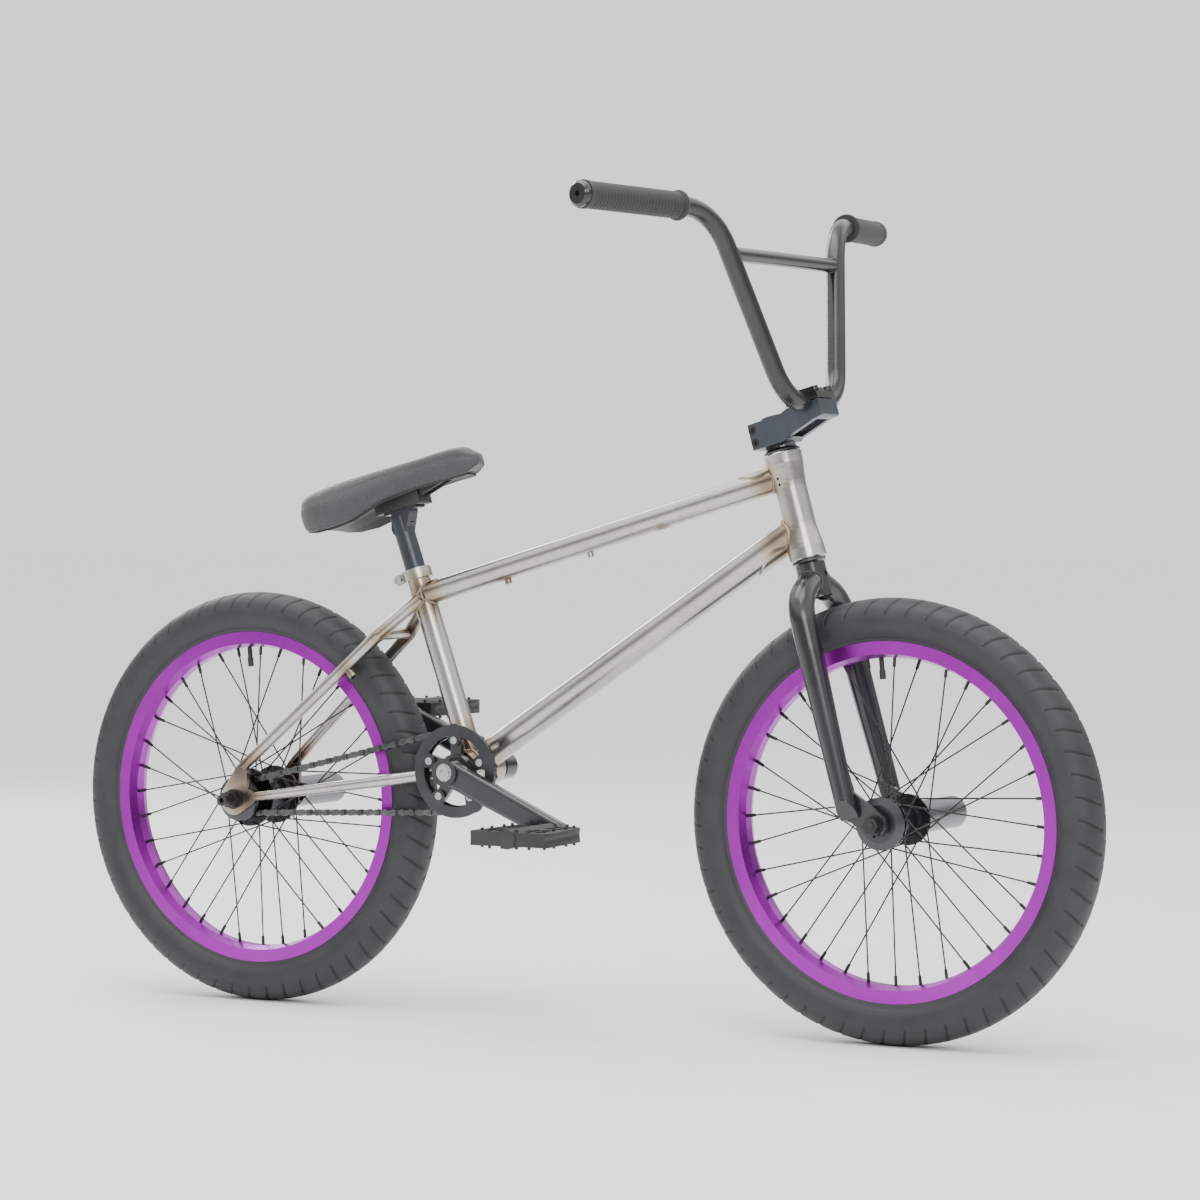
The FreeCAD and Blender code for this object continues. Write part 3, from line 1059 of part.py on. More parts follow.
# ---------------------------------------------------------------- seat post and saddle
SADDLE_TILT = 14.3
post_top = seat_at(POST_TOP_Z)
post_low = seat_top - SEAT_UP * POST_INSERT
PIVOT = seat_at(POST_TOP_Z + 6.0) + V(9.0, 0, 0)
SEAT_RISE = 26.0          # saddle's own frame above the pivot
PIVOT_R = 24.0
PIVOT_HALF = 11.0
tilt_s = math.radians(SADDLE_TILT)
SEAT_FWD = V(math.cos(tilt_s), 0, math.sin(tilt_s))
SEAT_NORM = V(-math.sin(tilt_s), 0, math.cos(tilt_s))
SEAT_O = PIVOT + SEAT_NORM * SEAT_RISE
post = rod(post_low, post_top, POST_R)
post_head = rod(PIVOT - V(0, PIVOT_HALF, 0), PIVOT + V(0, PIVOT_HALF, 0), PIVOT_R)
under = Part.makeBox(90, 60, 60, V(-45, -30, -60))
under.Placement = FreeCAD.Placement(PIVOT + SEAT_NORM * 1.0, FreeCAD.Rotation(V(0, 1, 0), -SADDLE_TILT))
post_head = post_head.cut(under)
post = post.cut(rod(post_low - SEAT_UP, post_top + SEAT_UP, POST_R - 2.4))
neck = hull2(post_top - SEAT_UP * 14, 11.0, PIVOT + SEAT_NORM * 2, 13.0, -PIVOT_HALF + 0.5, PIVOT_HALF - 0.5)
post = post.fuse(neck).fuse(post_head)
SADDLE_BOLT_R = 4.0
BOLT_LOW = -12.0
TILT_ROOM = math.tan(math.radians(13.0))


def fan(n, side):
    """Edge of the slot that lets the saddle bolt swing in the post head."""
    wide = SADDLE_BOLT_R + 0.4 + abs(n) * TILT_ROOM
    p = PIVOT + SEAT_NORM * n + SEAT_FWD * (side * wide)
    return (p.x, p.z)


slot_low = BOLT_LOW - 2.0
slot_high = PIVOT_R + 4.0
bolt_slot = plate([fan(slot_low, -1), fan(0.0, -1), fan(slot_high, -1), fan(slot_high, 1), fan(0.0, 1),
                   fan(slot_low, 1)], -SADDLE_BOLT_R - 0.1, SADDLE_BOLT_R + 0.1)
post = one(post.cut(bolt_slot))


def seat_pt(f, y, n):
    """Point in the saddle's own frame: forwards, to the left, and above its base."""
    return SEAT_O + SEAT_FWD * f + V(0, y, 0) + SEAT_NORM * n


# stations: forwards, half width, edge height, top height, hollow under the middle
PAD = [(-124.0, 38.0, -10.0, 14.0, 1.0), (-117.0, 52.0, -20.0, 24.0, 3.0), (-100.0, 59.0, -24.0, 28.0, 10.0),
       (-72.0, 60.0, -25.0, 30.0, 18.0), (-44.0, 55.0, -22.0, 31.0, 20.0), (-8.0, 41.0, -9.0, 32.0, 10.0),
       (34.0, 25.0, -3.5, 32.5, 4.5), (76.0, 20.5, -3.5, 33.0, 3.0), (103.0, 18.5, -4.0, 30.5, 2.0),
       (118.0, 12.0, 1.0, 20.0, 0.8)]
SHELL_T = 4.0
SHELL_SUNK = 1.5
RING_STEPS = 32


def closed_ring(f, pts):
    """Closed section across the saddle, smoothed from its right-hand half."""
    left = [seat_pt(f, y, n) for y, n in pts]
    right = [seat_pt(f, -y, n) for y, n in reversed(pts[1:-1])]
    curve = Part.BSplineCurve()
    curve.interpolate(left + right, PeriodicFlag=True)
    ring = curve.toShape().discretize(Number=RING_STEPS + 1)
    ring[-1] = ring[0]
    return Part.makePolygon(ring)


def pad_ring(f, w, low, top, hollow):
    """Cushion section: crowned top, rolled edge and hollow underside."""
    tall = top - low
    return closed_ring(f, [(0, top), (w * 0.55, top - 1.6), (w * 0.9, top - tall * 0.24), (w, low + tall * 0.48),
                           (w * 0.97, low + tall * 0.16), (w * 0.88, low), (w * 0.7, low + hollow * 0.35),
                           (w * 0.4, low + hollow * 0.85), (0, low + hollow)])


def shell_ring(f, w, low, top, hollow):
    """Plastic base section that follows the cushion's underside."""
    up = SHELL_SUNK
    down = SHELL_SUNK - SHELL_T
    half = [(0, low + hollow + up), (w * 0.4, low + hollow * 0.85 + up), (w * 0.66, low + hollow * 0.42 + up),
            (w * 0.82, low + up), (w * 0.82, low + down), (w * 0.66, low + hollow * 0.42 + down),
            (w * 0.4, low + hollow * 0.85 + down), (0, low + hollow + down)]
    pts = [seat_pt(f, y, n) for y, n in half]
    pts.extend([seat_pt(f, -y, n) for y, n in reversed(half[1:-1])])
    pts.append(pts[0])
    return Part.makePolygon(pts)


pad_full = Part.makeLoft([pad_ring(*station) for station in PAD], True, True)
shell_full = Part.makeLoft([shell_ring(*station) for station in PAD[1:-1]], True, True)
room = rod(PIVOT - V(0, PIVOT_HALF + 0.4, 0), PIVOT + V(0, PIVOT_HALF + 0.4, 0), PIVOT_R + FIT)
HOUSE_HALF = PIVOT_HALF + 4.0
HOUSE_LEN = 33.0
HOUSE_LOW = 4.0
HOUSE_TOP = SEAT_RISE + 3.0
house = Part.makeBox(2 * HOUSE_LEN, 2 * HOUSE_HALF, HOUSE_TOP - HOUSE_LOW, V(-HOUSE_LEN, -HOUSE_HALF, HOUSE_LOW))
for k in range(4):
    for side in (-1, 1):
        rib = Part.makeBox(1.4, 2 * HOUSE_HALF + 2, 1.6, V(side * HOUSE_LEN - 0.7, -HOUSE_HALF - 1, HOUSE_LOW + 3.0 + 4.0 * k))
        house = house.cut(rib)
for side in (-1, 1):
    keel = plate([(30, HOUSE_LOW + 8), (104, SEAT_RISE + 4), (30, SEAT_RISE + 4)], side * 9.0 - 1.5, side * 9.0 + 1.5)
    house = house.fuse(keel)
house.Placement = FreeCAD.Placement(PIVOT, FreeCAD.Rotation(V(0, 1, 0), -SADDLE_TILT))
SEAT_BOLT_SEAT = PIVOT_R + 2.4
BOLT_WELL_R = 8.4
well = rod(PIVOT + SEAT_NORM * SEAT_BOLT_SEAT, PIVOT + SEAT_NORM * 90, BOLT_WELL_R)
bolt_bore = rod(PIVOT, PIVOT + SEAT_NORM * 60, SADDLE_BOLT_R)
saddle_base = shell_full.fuse(house).cut(room).cut(bolt_bore).cut(well)
saddle_base = sorted(saddle_base.Solids, key=lambda s: s.Volume)[-1]
saddle_pad = pad_full.cut(shell_full.fuse(house)).cut(room).cut(well).cut(bolt_bore)
saddle_pad = sorted(saddle_pad.Solids, key=lambda s: s.Volume)[-1]
saddle_bolt = socket_bolt(PIVOT + SEAT_NORM * SEAT_BOLT_SEAT, SEAT_NORM, 6.8, 6.5, SADDLE_BOLT_R,
                          SEAT_BOLT_SEAT - BOLT_LOW)

# ---------------------------------------------------------------- save every node
os.makedirs("parts", exist_ok=True)
write("head_tube", head_solid)
write("top_tube", top_tube)
write("down_tube", down_tube)
write("seat_tube", seat_tube)
write("bb_shell", bb_tube)
write("chain_stays", chain_stay, mirrored(chain_stay))
write("seat_stays", seat_stay, mirrored(seat_stay))
write("stay_bridges", seat_bridge, chain_bridge)
write("rear_dropouts", drop, mirrored(drop))
write("head_gussets", gusset_top, gusset_low)
write("brake_and_cable_bosses", stay_boss(), mirrored(stay_boss()), cable_boss(0.234), cable_boss(0.463))
write("seat_clamp", clamp_body)
write("seat_clamp_bolt", clamp_bolt)
write("frame_bearings", head_ring_top, head_ring_low, bb_ring_r, bb_ring_l)
write("rear_axle", rear_axle)
write("rear_axle_nuts", *rear_nuts)
write("rear_hub_guard", rear_guard, cone_r, cone_l)
write("rear_peg", rear_peg)
write("chain_inner_links", *inner_links)
write("chain_outer_links", *outer_links)
write("seat_post", post)
write("saddle_base", saddle_base)
write("saddle_pad", saddle_pad)
write("saddle_bolt", saddle_bolt)
write("fork_steerer", steerer)
write("fork_legs", leg, mirrored(leg))
write("fork_dropouts", fork_drop, mirrored(fork_drop))
write("headset_cap", cap_cone)
write("stem_body", stem)
write("stem_cap", stem_cap)
write("stem_bolts", *stem_bolts)
write("handlebar", handlebar)
write("handlebar_crossbar", crossbar)
write("grips", grip_right, grip_left)
write("bar_end_plugs", plug, plug_left)
write("front_axle", front_axle)
write("front_axle_nuts", *front_nuts)
write("front_hub_guard", front_guard, front_cone_l)
write("front_peg", front_peg)
write("front_tyre", tyre(front_c))
write("front_rim", front_rim)
write("front_spokes", *front_spokes)
write("front_hub", front_hub)
write("front_hub_bearings", *front_bearings)
write("front_valve", valve(front_c, VALVE_DEG))
write("rear_tyre", tyre(rear_c))
write("rear_rim", rear_rim)
write("rear_spokes", *rear_spokes)
write("rear_hub", rear_hub)
write("rear_hub_bearings", *rear_bearings)
write("rear_valve", valve(rear_c, VALVE_DEG))
write("driver_cog", driver)
write("crank_spindle", spindle, spacer_l, spacer_r)
write("crank_arms", arm_right, arm_left)
write("sprocket", sprocket)
write("sprocket_guard", guard)
write("crank_bolts", *(end_bolts + guard_bolts))
write("pedal_axles", axle_r, axle_l)
write("pedal_right", pedal_right)
write("pedal_left", pedal_left)
print("nodes written", len(os.listdir("parts")))
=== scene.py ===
"""Looks of a freestyle BMX bike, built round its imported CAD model, in metres."""
import bmesh
import bpy
import math
from mathutils import Matrix, Quaternion, Vector


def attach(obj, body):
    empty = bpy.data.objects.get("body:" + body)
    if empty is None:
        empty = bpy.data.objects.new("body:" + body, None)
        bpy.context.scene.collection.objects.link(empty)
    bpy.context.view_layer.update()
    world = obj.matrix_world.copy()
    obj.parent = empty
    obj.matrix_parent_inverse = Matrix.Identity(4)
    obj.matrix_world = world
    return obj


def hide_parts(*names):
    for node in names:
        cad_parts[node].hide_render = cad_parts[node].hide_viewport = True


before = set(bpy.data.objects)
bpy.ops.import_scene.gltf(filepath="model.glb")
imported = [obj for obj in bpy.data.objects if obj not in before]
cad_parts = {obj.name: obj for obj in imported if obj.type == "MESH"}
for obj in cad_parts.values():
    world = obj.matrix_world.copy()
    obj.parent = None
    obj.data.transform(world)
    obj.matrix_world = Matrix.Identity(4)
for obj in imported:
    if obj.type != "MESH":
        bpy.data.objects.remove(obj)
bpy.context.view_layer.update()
scene = bpy.context.scene
V = Vector

# ------------------------------------------------------------------ camera
CAM_AT = V((2.3247, -3.9727, 0.6251))
CAM_TO = V((0.05316, 0.0, 0.51163))
CAM_ROLL = math.radians(-0.27)
cam_data = bpy.data.cameras.new("camera")
cam_data.lens = 114.07
cam_data.sensor_width = 36.0
cam_data.clip_end = 200.0
camera = bpy.data.objects.new("camera", cam_data)
scene.collection.objects.link(camera)
camera.location = CAM_AT
camera.rotation_mode = "QUATERNION"
camera.rotation_quaternion = (CAM_TO - CAM_AT).to_track_quat("-Z", "Y") @ Quaternion((0, 0, 1), CAM_ROLL)
scene.camera = camera


# ------------------------------------------------------------------ helpers
def link_object(name, mesh):
    ob = bpy.data.objects.new(name, mesh)
    scene.collection.objects.link(ob)
    return ob


def solid(name, verts, faces, material=None, smooth=True):
    """Object from plain vertices and faces."""
    mesh = bpy.data.meshes.new(name)
    mesh.from_pydata([tuple(v) for v in verts], [], faces)
    bm = bmesh.new()
    bm.from_mesh(mesh)
    bmesh.ops.recalc_face_normals(bm, faces=bm.faces)
    bm.to_mesh(mesh)
    bm.free()
    for poly in mesh.polygons:
        poly.use_smooth = smooth
    ob = link_object(name, mesh)
    if material is not None:
        mesh.materials.append(material)
    return ob


def grid_faces(rows, cols, close_rows, close_cols):
    """Quads of a rows x cols grid of vertices."""
    faces = []
    for i in range(rows if close_rows else rows - 1):
        for j in range(cols if close_cols else cols - 1):
            a = i * cols + j
            b = i * cols + (j + 1) % cols
            c = ((i + 1) % rows) * cols + (j + 1) % cols
            d = ((i + 1) % rows) * cols + j
            faces.append((a, b, c, d))
    return faces


def tube_along(points, radii, closed, sides, ups=None):
    """Vertices and faces of a round bar along points; radii per point."""
    verts = []
    n = len(points)
    for i, p in enumerate(points):
        if closed:
            t = points[(i + 1) % n] - points[i - 1]
        else:
            t = points[min(i + 1, n - 1)] - points[max(i - 1, 0)]
        t.normalize()
        up = ups[i] if ups else V((0, 0, 1))
        side = t.cross(up)
        if side.length < 1e-6:
            side = t.cross(V((1, 0, 0)))
        side.normalize()
        top = side.cross(t)
        for k in range(sides):
            a = 2 * math.pi * k / sides
            verts.append(p + side * (math.cos(a) * radii[i]) + top * (math.sin(a) * radii[i]))
    faces = grid_faces(n, sides, closed, True)
    if not closed:
        faces.append(tuple(range(sides)))
        faces.append(tuple((n - 1) * sides + k for k in reversed(range(sides))))
    return verts, faces


# ------------------------------------------------------------------ shader groups
def new_group(name, inputs, outputs):
    g = bpy.data.node_groups.new(name, "ShaderNodeTree")
    for label, kind, value in inputs:
        s = g.interface.new_socket(label, in_out="INPUT", socket_type=kind)
        if value is not None:
            s.default_value = value
    for label, kind in outputs:
        g.interface.new_socket(label, in_out="OUTPUT", socket_type=kind)
    return g, g.nodes.new("NodeGroupInput"), g.nodes.new("NodeGroupOutput")


def noise(tree, scale, detail=4.0, rough=0.55, vector=None):
    n = tree.nodes.new("ShaderNodeTexNoise")
    n.inputs["Scale"].default_value = scale
    n.inputs["Detail"].default_value = detail
    n.inputs["Roughness"].default_value = rough
    if vector is not None:
        tree.links.new(vector, n.inputs["Vector"])
    return n


def remap(tree, value, a, b, c, d):
    m = tree.nodes.new("ShaderNodeMapRange")
    tree.links.new(value, m.inputs["Value"])
    for label, x in (("From Min", a), ("From Max", b), ("To Min", c), ("To Max", d)):
        m.inputs[label].default_value = x
    return m.outputs["Result"]


def maths(tree, kind, a, b=None, clamp=False):
    m = tree.nodes.new("ShaderNodeMath")
    m.operation = kind
    m.use_clamp = clamp
    for i, x in enumerate((a, b)):
        if x is None:
            continue
        if isinstance(x, (int, float)):
            m.inputs[i].default_value = x
        else:
            tree.links.new(x, m.inputs[i])
    return m.outputs[0]


def blend_colour(tree, fac, a, b, kind="MIX"):
    m = tree.nodes.new("ShaderNodeMix")
    m.data_type = "RGBA"
    m.blend_type = kind
    for sock, x in ((m.inputs[0], fac), (m.inputs[6], a), (m.inputs[7], b)):
        if isinstance(x, (int, float)):
            sock.default_value = x
        elif isinstance(x, tuple):
            sock.default_value = x + (1.0,)
        else:
            tree.links.new(x, sock)
    return m.outputs[2]


# grain: fine height for a bump, and a patchy mask for colour and gloss
grain, gi, go = new_group("Grain", [("Vector", "NodeSocketVector", None), ("Fine scale", "NodeSocketFloat", 900.0),
                                    ("Patch scale", "NodeSocketFloat", 14.0)],
                          [("Height", "NodeSocketFloat"), ("Patches", "NodeSocketFloat")])
fine = noise(grain, 900.0, 3.0, 0.6, gi.outputs["Vector"])
grain.links.new(gi.outputs["Fine scale"], fine.inputs["Scale"])
patch = noise(grain, 14.0, 5.0, 0.6, gi.outputs["Vector"])
grain.links.new(gi.outputs["Patch scale"], patch.inputs["Scale"])
grain.links.new(fine.outputs["Fac"], go.inputs["Height"])
grain.links.new(patch.outputs["Fac"], go.inputs["Patches"])

# scratches: thin streaks stretched along one direction
scratch, gi, go = new_group("Scratches", [("Vector", "NodeSocketVector", None), ("Scale", "NodeSocketFloat", 60.0),
                                          ("Share", "NodeSocketFloat", 0.12)], [("Mask", "NodeSocketFloat")])
mapping = scratch.nodes.new("ShaderNodeMapping")
mapping.inputs["Scale"].default_value = (0.35, 3.0, 6.0)
mapping.inputs["Rotation"].default_value = (0.2, 0.5, 0.1)
scratch.links.new(gi.outputs["Vector"], mapping.inputs["Vector"])
streaks = noise(scratch, 60.0, 2.0, 0.5, mapping.outputs["Vector"])
scratch.links.new(gi.outputs["Scale"], streaks.inputs["Scale"])
low = maths(scratch, "SUBTRACT", 0.82, gi.outputs["Share"])
over = maths(scratch, "SUBTRACT", streaks.outputs["Fac"], low)
scratch.links.new(maths(scratch, "MULTIPLY", over, 9.0, True), go.inputs["Mask"])

# spot: 1 at a place, falling to 0 a distance away
spot, gi, go = new_group("Spot", [("Vector", "NodeSocketVector", None), ("Place", "NodeSocketVector", None),
                                  ("Reach", "NodeSocketFloat", 0.05)], [("Mask", "NodeSocketFloat")])
gap = spot.nodes.new("ShaderNodeVectorMath")
gap.operation = "DISTANCE"
spot.links.new(gi.outputs["Vector"], gap.inputs[0])
spot.links.new(gi.outputs["Place"], gap.inputs[1])
share = maths(spot, "DIVIDE", gap.outputs["Value"], gi.outputs["Reach"])
spot.links.new(maths(spot, "SUBTRACT", 1.0, share, True), go.inputs["Mask"])


def use(tree, group, **values):
    n = tree.nodes.new("ShaderNodeGroup")
    n.node_tree = group
    for label, x in values.items():
        sock = n.inputs[label.replace("_", " ")]
        if isinstance(x, (int, float, tuple)):
            sock.default_value = x
        else:
            tree.links.new(x, sock)
    return n


def start(name):
    """Emptied material of that slot, with a fresh Principled shader and object coordinates."""
    mat = bpy.data.materials.get(name) or bpy.data.materials.new(name)
    mat.use_nodes = True
    tree = mat.node_tree
    tree.nodes.clear()
    out = tree.nodes.new("ShaderNodeOutputMaterial")
    bsdf = tree.nodes.new("ShaderNodeBsdfPrincipled")
    tree.links.new(bsdf.outputs[0], out.inputs[0])
    coords = tree.nodes.new("ShaderNodeTexCoord").outputs["Object"]
    return mat, tree, bsdf, coords


def bump(tree, bsdf, height, strength, distance):
    b = tree.nodes.new("ShaderNodeBump")
    b.inputs["Strength"].default_value = strength
    b.inputs["Distance"].default_value = distance
    tree.links.new(height, b.inputs["Height"])
    tree.links.new(b.outputs[0], bsdf.inputs["Normal"])


def coat(name, low, high, metal, rough, swing, fine=900.0, depth=0.0002, strength=0.2, patch=14.0,
         worn=None, share=0.1, top=0.0, top_rough=0.1, sheen=0.0):
    """A finish with patchy colour, changing gloss, fine relief and worn streaks."""
    mat, tree, bsdf, coords = start(name)
    g = use(tree, grain, Vector=coords, Fine_scale=fine, Patch_scale=patch)
    spread = remap(tree, g.outputs["Patches"], 0.3, 0.7, 0.0, 1.0)
    colour = blend_colour(tree, spread, low, high)
    gloss = remap(tree, g.outputs["Patches"], 0.25, 0.75, rough - swing, rough + swing)
    if worn:
        marks = use(tree, scratch, Vector=coords, Share=share).outputs["Mask"]
        colour = blend_colour(tree, marks, colour, worn)
        gloss = maths(tree, "ADD", gloss, maths(tree, "MULTIPLY", marks, 0.12))
    tree.links.new(colour, bsdf.inputs["Base Color"])
    tree.links.new(gloss, bsdf.inputs["Roughness"])
    bsdf.inputs["Metallic"].default_value = metal
    bsdf.inputs["Coat Weight"].default_value = top
    bsdf.inputs["Coat Roughness"].default_value = top_rough
    bsdf.inputs["Sheen Weight"].default_value = sheen
    bump(tree, bsdf, g.outputs["Height"], strength, depth)
    return mat


# ------------------------------------------------------------------ finishes
# places where welding has tinted the steel: centre and reach, in metres
HEAT = [((0.2881, 0, 0.6530), 0.036), ((0.3035, 0, 0.5861), 0.040), ((-0.190, 0, 0.5158), 0.038),
        ((-0.128, 0, 0.322), 0.052), ((-0.4307, 0.058, 0.2999), 0.046), ((-0.4307, -0.058, 0.2999), 0.046),
        ((-0.4207, 0.058, 0.2629), 0.042), ((-0.4207, -0.058, 0.2629), 0.042), ((-0.2417, 0.030, 0.467), 0.026),
        ((-0.2417, -0.030, 0.467), 0.026), ((-0.1665, 0, 0.2972), 0.036), ((-0.282, -0.0416, 0.422), 0.018),
        ((-0.282, 0.0416, 0.422), 0.018), ((-0.08, 0, 0.535), 0.016), ((0.143, 0, 0.598), 0.016)]


def steel(name):
    """Bare brushed steel under clear coat, browned and straw coloured round the welds."""
    mat, tree, bsdf, coords = start(name)
    g = use(tree, grain, Vector=coords, Fine_scale=1400.0, Patch_scale=9.0)
    brushed = use(tree, scratch, Vector=coords, Scale=170.0, Share=0.26).outputs["Mask"]
    spread = remap(tree, g.outputs["Patches"], 0.3, 0.7, 0.0, 1.0)
    colour = blend_colour(tree, spread, (0.40, 0.39, 0.375), (0.52, 0.51, 0.495))
    colour = blend_colour(tree, maths(tree, "MULTIPLY", brushed, 0.45), colour, (0.24, 0.23, 0.22))
    heat = None
    for place, reach in HEAT:
        m = use(tree, spot, Vector=coords, Place=place, Reach=reach).outputs["Mask"]
        heat = m if heat is None else maths(tree, "MAXIMUM", heat, m)
    uneven = maths(tree, "MULTIPLY", heat, remap(tree, g.outputs["Patches"], 0.3, 0.7, 0.75, 1.35))
    ramp = tree.nodes.new("ShaderNodeValToRGB")
    ramp.color_ramp.elements[0].position = 0.0
    ramp.color_ramp.elements[0].color = (1, 1, 1, 1)
    ramp.color_ramp.elements[1].position = 1.0
    ramp.color_ramp.elements[1].color = (0.22, 0.17, 0.15, 1)
    for at, tint in ((0.22, (0.95, 0.86, 0.72)), (0.46, (0.74, 0.58, 0.43)), (0.70, (0.44, 0.34, 0.29))):
        ramp.color_ramp.elements.new(at).color = tint + (1.0,)
    tree.links.new(uneven, ramp.inputs[0])
    colour = blend_colour(tree, 1.0, colour, ramp.outputs[0], "MULTIPLY")
    tree.links.new(colour, bsdf.inputs["Base Color"])
    tree.links.new(remap(tree, g.outputs["Patches"], 0.25, 0.75, 0.20, 0.30), bsdf.inputs["Roughness"])
    bsdf.inputs["Metallic"].default_value = 1.0
    bsdf.inputs["Coat Weight"].default_value = 0.35
    bsdf.inputs["Coat Roughness"].default_value = 0.12
    height = maths(tree, "ADD", g.outputs["Height"], brushed)
    bump(tree, bsdf, height, 0.10, 0.0002)


steel("raw_steel")
coat("bright_bolt", (0.42, 0.42, 0.42), (0.6, 0.6, 0.6), 1.0, 0.26, 0.06, worn=(0.25, 0.24, 0.23))
coat("bearing_steel", (0.62, 0.62, 0.63), (0.8, 0.8, 0.82), 1.0, 0.12, 0.04)
coat("black_steel", (0.045, 0.045, 0.048), (0.085, 0.083, 0.082), 0.9, 0.36, 0.07,
     worn=(0.25, 0.24, 0.23), share=0.05)
coat("guard_grey", (0.05, 0.05, 0.054), (0.085, 0.085, 0.092), 0.85, 0.34, 0.06,
     worn=(0.22, 0.22, 0.22), share=0.08)
coat("peg_graphite", (0.13, 0.13, 0.14), (0.20, 0.20, 0.215), 0.9, 0.3, 0.07,
     worn=(0.3, 0.3, 0.3), share=0.08)
coat("chain_inner_steel", (0.06, 0.06, 0.06), (0.12, 0.12, 0.12), 1.0, 0.33, 0.08, patch=60.0)
coat("chain_outer_steel", (0.07, 0.072, 0.074), (0.15, 0.15, 0.152), 1.0, 0.28, 0.08, patch=60.0)
coat("post_satin", (0.045, 0.05, 0.058), (0.07, 0.076, 0.088), 0.8, 0.33, 0.05,
     worn=(0.16, 0.17, 0.18), share=0.06)
coat("saddle_plastic", (0.018, 0.018, 0.019), (0.032, 0.032, 0.034), 0.0, 0.48, 0.08,
     fine=2400.0, strength=0.35)
coat("fork_black", (0.022, 0.022, 0.024), (0.036, 0.036, 0.039), 0.45, 0.27, 0.05,
     worn=(0.1, 0.1, 0.1), share=0.05, top=0.6, top_rough=0.14)
coat("gloss_black", (0.010, 0.010, 0.011), (0.018, 0.018, 0.02), 0.6, 0.10, 0.03,
     strength=0.05, top=0.8, top_rough=0.05)
coat("stem_satin", (0.075, 0.085, 0.10), (0.11, 0.12, 0.14), 0.85, 0.34, 0.05,
     worn=(0.2, 0.21, 0.22), share=0.05)
coat("bar_black", (0.014, 0.014, 0.015), (0.024, 0.024, 0.026), 0.4, 0.30, 0.05,
     worn=(0.08, 0.08, 0.08), share=0.04, top=0.5, top_rough=0.2)
coat("grip_rubber", (0.012, 0.012, 0.013), (0.024, 0.024, 0.025), 0.0, 0.62, 0.09,
     fine=2600.0, strength=0.4, sheen=0.15)
coat("plug_plastic", (0.012, 0.012, 0.012), (0.02, 0.02, 0.02), 0.0, 0.16, 0.04, top=0.4, top_rough=0.08)
coat("spoke_black", (0.02, 0.02, 0.02), (0.045, 0.045, 0.045), 0.7, 0.3, 0.06)
coat("hub_black", (0.022, 0.022, 0.024), (0.04, 0.04, 0.044), 0.8, 0.26, 0.06, worn=(0.12, 0.12, 0.12), share=0.05)
coat("valve_rubber", (0.02, 0.02, 0.02), (0.035, 0.035, 0.035), 0.0, 0.6, 0.1)
coat("crank_black", (0.024, 0.024, 0.027), (0.042, 0.042, 0.046), 0.5, 0.26, 0.06,
     worn=(0.14, 0.14, 0.14), share=0.07, top=0.5, top_rough=0.14)
coat("pedal_plastic", (0.018, 0.018, 0.019), (0.034, 0.034, 0.035), 0.0, 0.52, 0.09, fine=1800.0, strength=0.35,
     worn=(0.07, 0.07, 0.07), share=0.1)


def anodised():
    """Purple anodised alloy with lighter streaks as painted sheen of turned lines round the rim."""
    mat, tree, bsdf, coords = start("rim_purple")
    g = use(tree, grain, Vector=coords, Fine_scale=1200.0, Patch_scale=6.0)
    spread = remap(tree, g.outputs["Patches"], 0.3, 0.7, 0.0, 1.0)
    colour = blend_colour(tree, spread, (0.27, 0.006, 0.33), (0.38, 0.014, 0.45))
    marks = use(tree, scratch, Vector=coords, Scale=90.0, Share=0.05).outputs["Mask"]
    # painted sheen: lighter purple streaks stand in for the glints of the turned lines
    colour = blend_colour(tree, maths(tree, "MULTIPLY", marks, 0.5), colour, (0.52, 0.12, 0.58))
    tree.links.new(colour, bsdf.inputs["Base Color"])
    tree.links.new(remap(tree, g.outputs["Patches"], 0.25, 0.75, 0.24, 0.34), bsdf.inputs["Roughness"])
    bsdf.inputs["Metallic"].default_value = 0.9
    bsdf.inputs["Coat Weight"].default_value = 0.12
    bsdf.inputs["Coat Roughness"].default_value = 0.15
    bump(tree, bsdf, g.outputs["Height"], 0.08, 0.0002)


anodised()

# sipes: 1 along the curved cross cuts of a tyre's tread, for either wheel
TYRE_R = 0.2589
RIM_R = 0.2093
HALF_W = 0.029
RISE = TYRE_R - RIM_R
AXLE_X = 0.44375
SIPES = 58
SIPE_BEND = 0.055
sipe, gi, go = new_group("Sipes", [("Vector", "NodeSocketVector", None)], [("Mask", "NodeSocketFloat")])
parts = sipe.nodes.new("ShaderNodeSeparateXYZ")
sipe.links.new(gi.outputs["Vector"], parts.inputs[0])
which = maths(sipe, "SIGN", parts.outputs["X"])
across = maths(sipe, "SUBTRACT", parts.outputs["X"], maths(sipe, "MULTIPLY", which, AXLE_X))
above = maths(sipe, "SUBTRACT", parts.outputs["Z"], TYRE_R)
squares = maths(sipe, "ADD", maths(sipe, "POWER", across, 2.0), maths(sipe, "POWER", above, 2.0))
radius = maths(sipe, "SQRT", squares)
angle = maths(sipe, "ARCTAN2", above, across)
off = maths(sipe, "DIVIDE", maths(sipe, "ABSOLUTE", parts.outputs["Y"]), HALF_W)
curve = maths(sipe, "MULTIPLY", maths(sipe, "SUBTRACT", 1.0, maths(sipe, "POWER", off, 1.6)), SIPE_BEND)
half_step = maths(sipe, "MULTIPLY", maths(sipe, "GREATER_THAN", parts.outputs["Y"], 0.0), math.pi / SIPES)
turn = maths(sipe, "ADD", maths(sipe, "ADD", angle, curve), half_step)
share = maths(sipe, "FRACT", maths(sipe, "MULTIPLY", turn, SIPES / (2 * math.pi)))
near = maths(sipe, "ABSOLUTE", maths(sipe, "SUBTRACT", share, 0.5))
line = remap(sipe, near, 0.045, 0.075, 1.0, 0.0)
crown = maths(sipe, "GREATER_THAN", radius, RIM_R + RISE * 0.60)
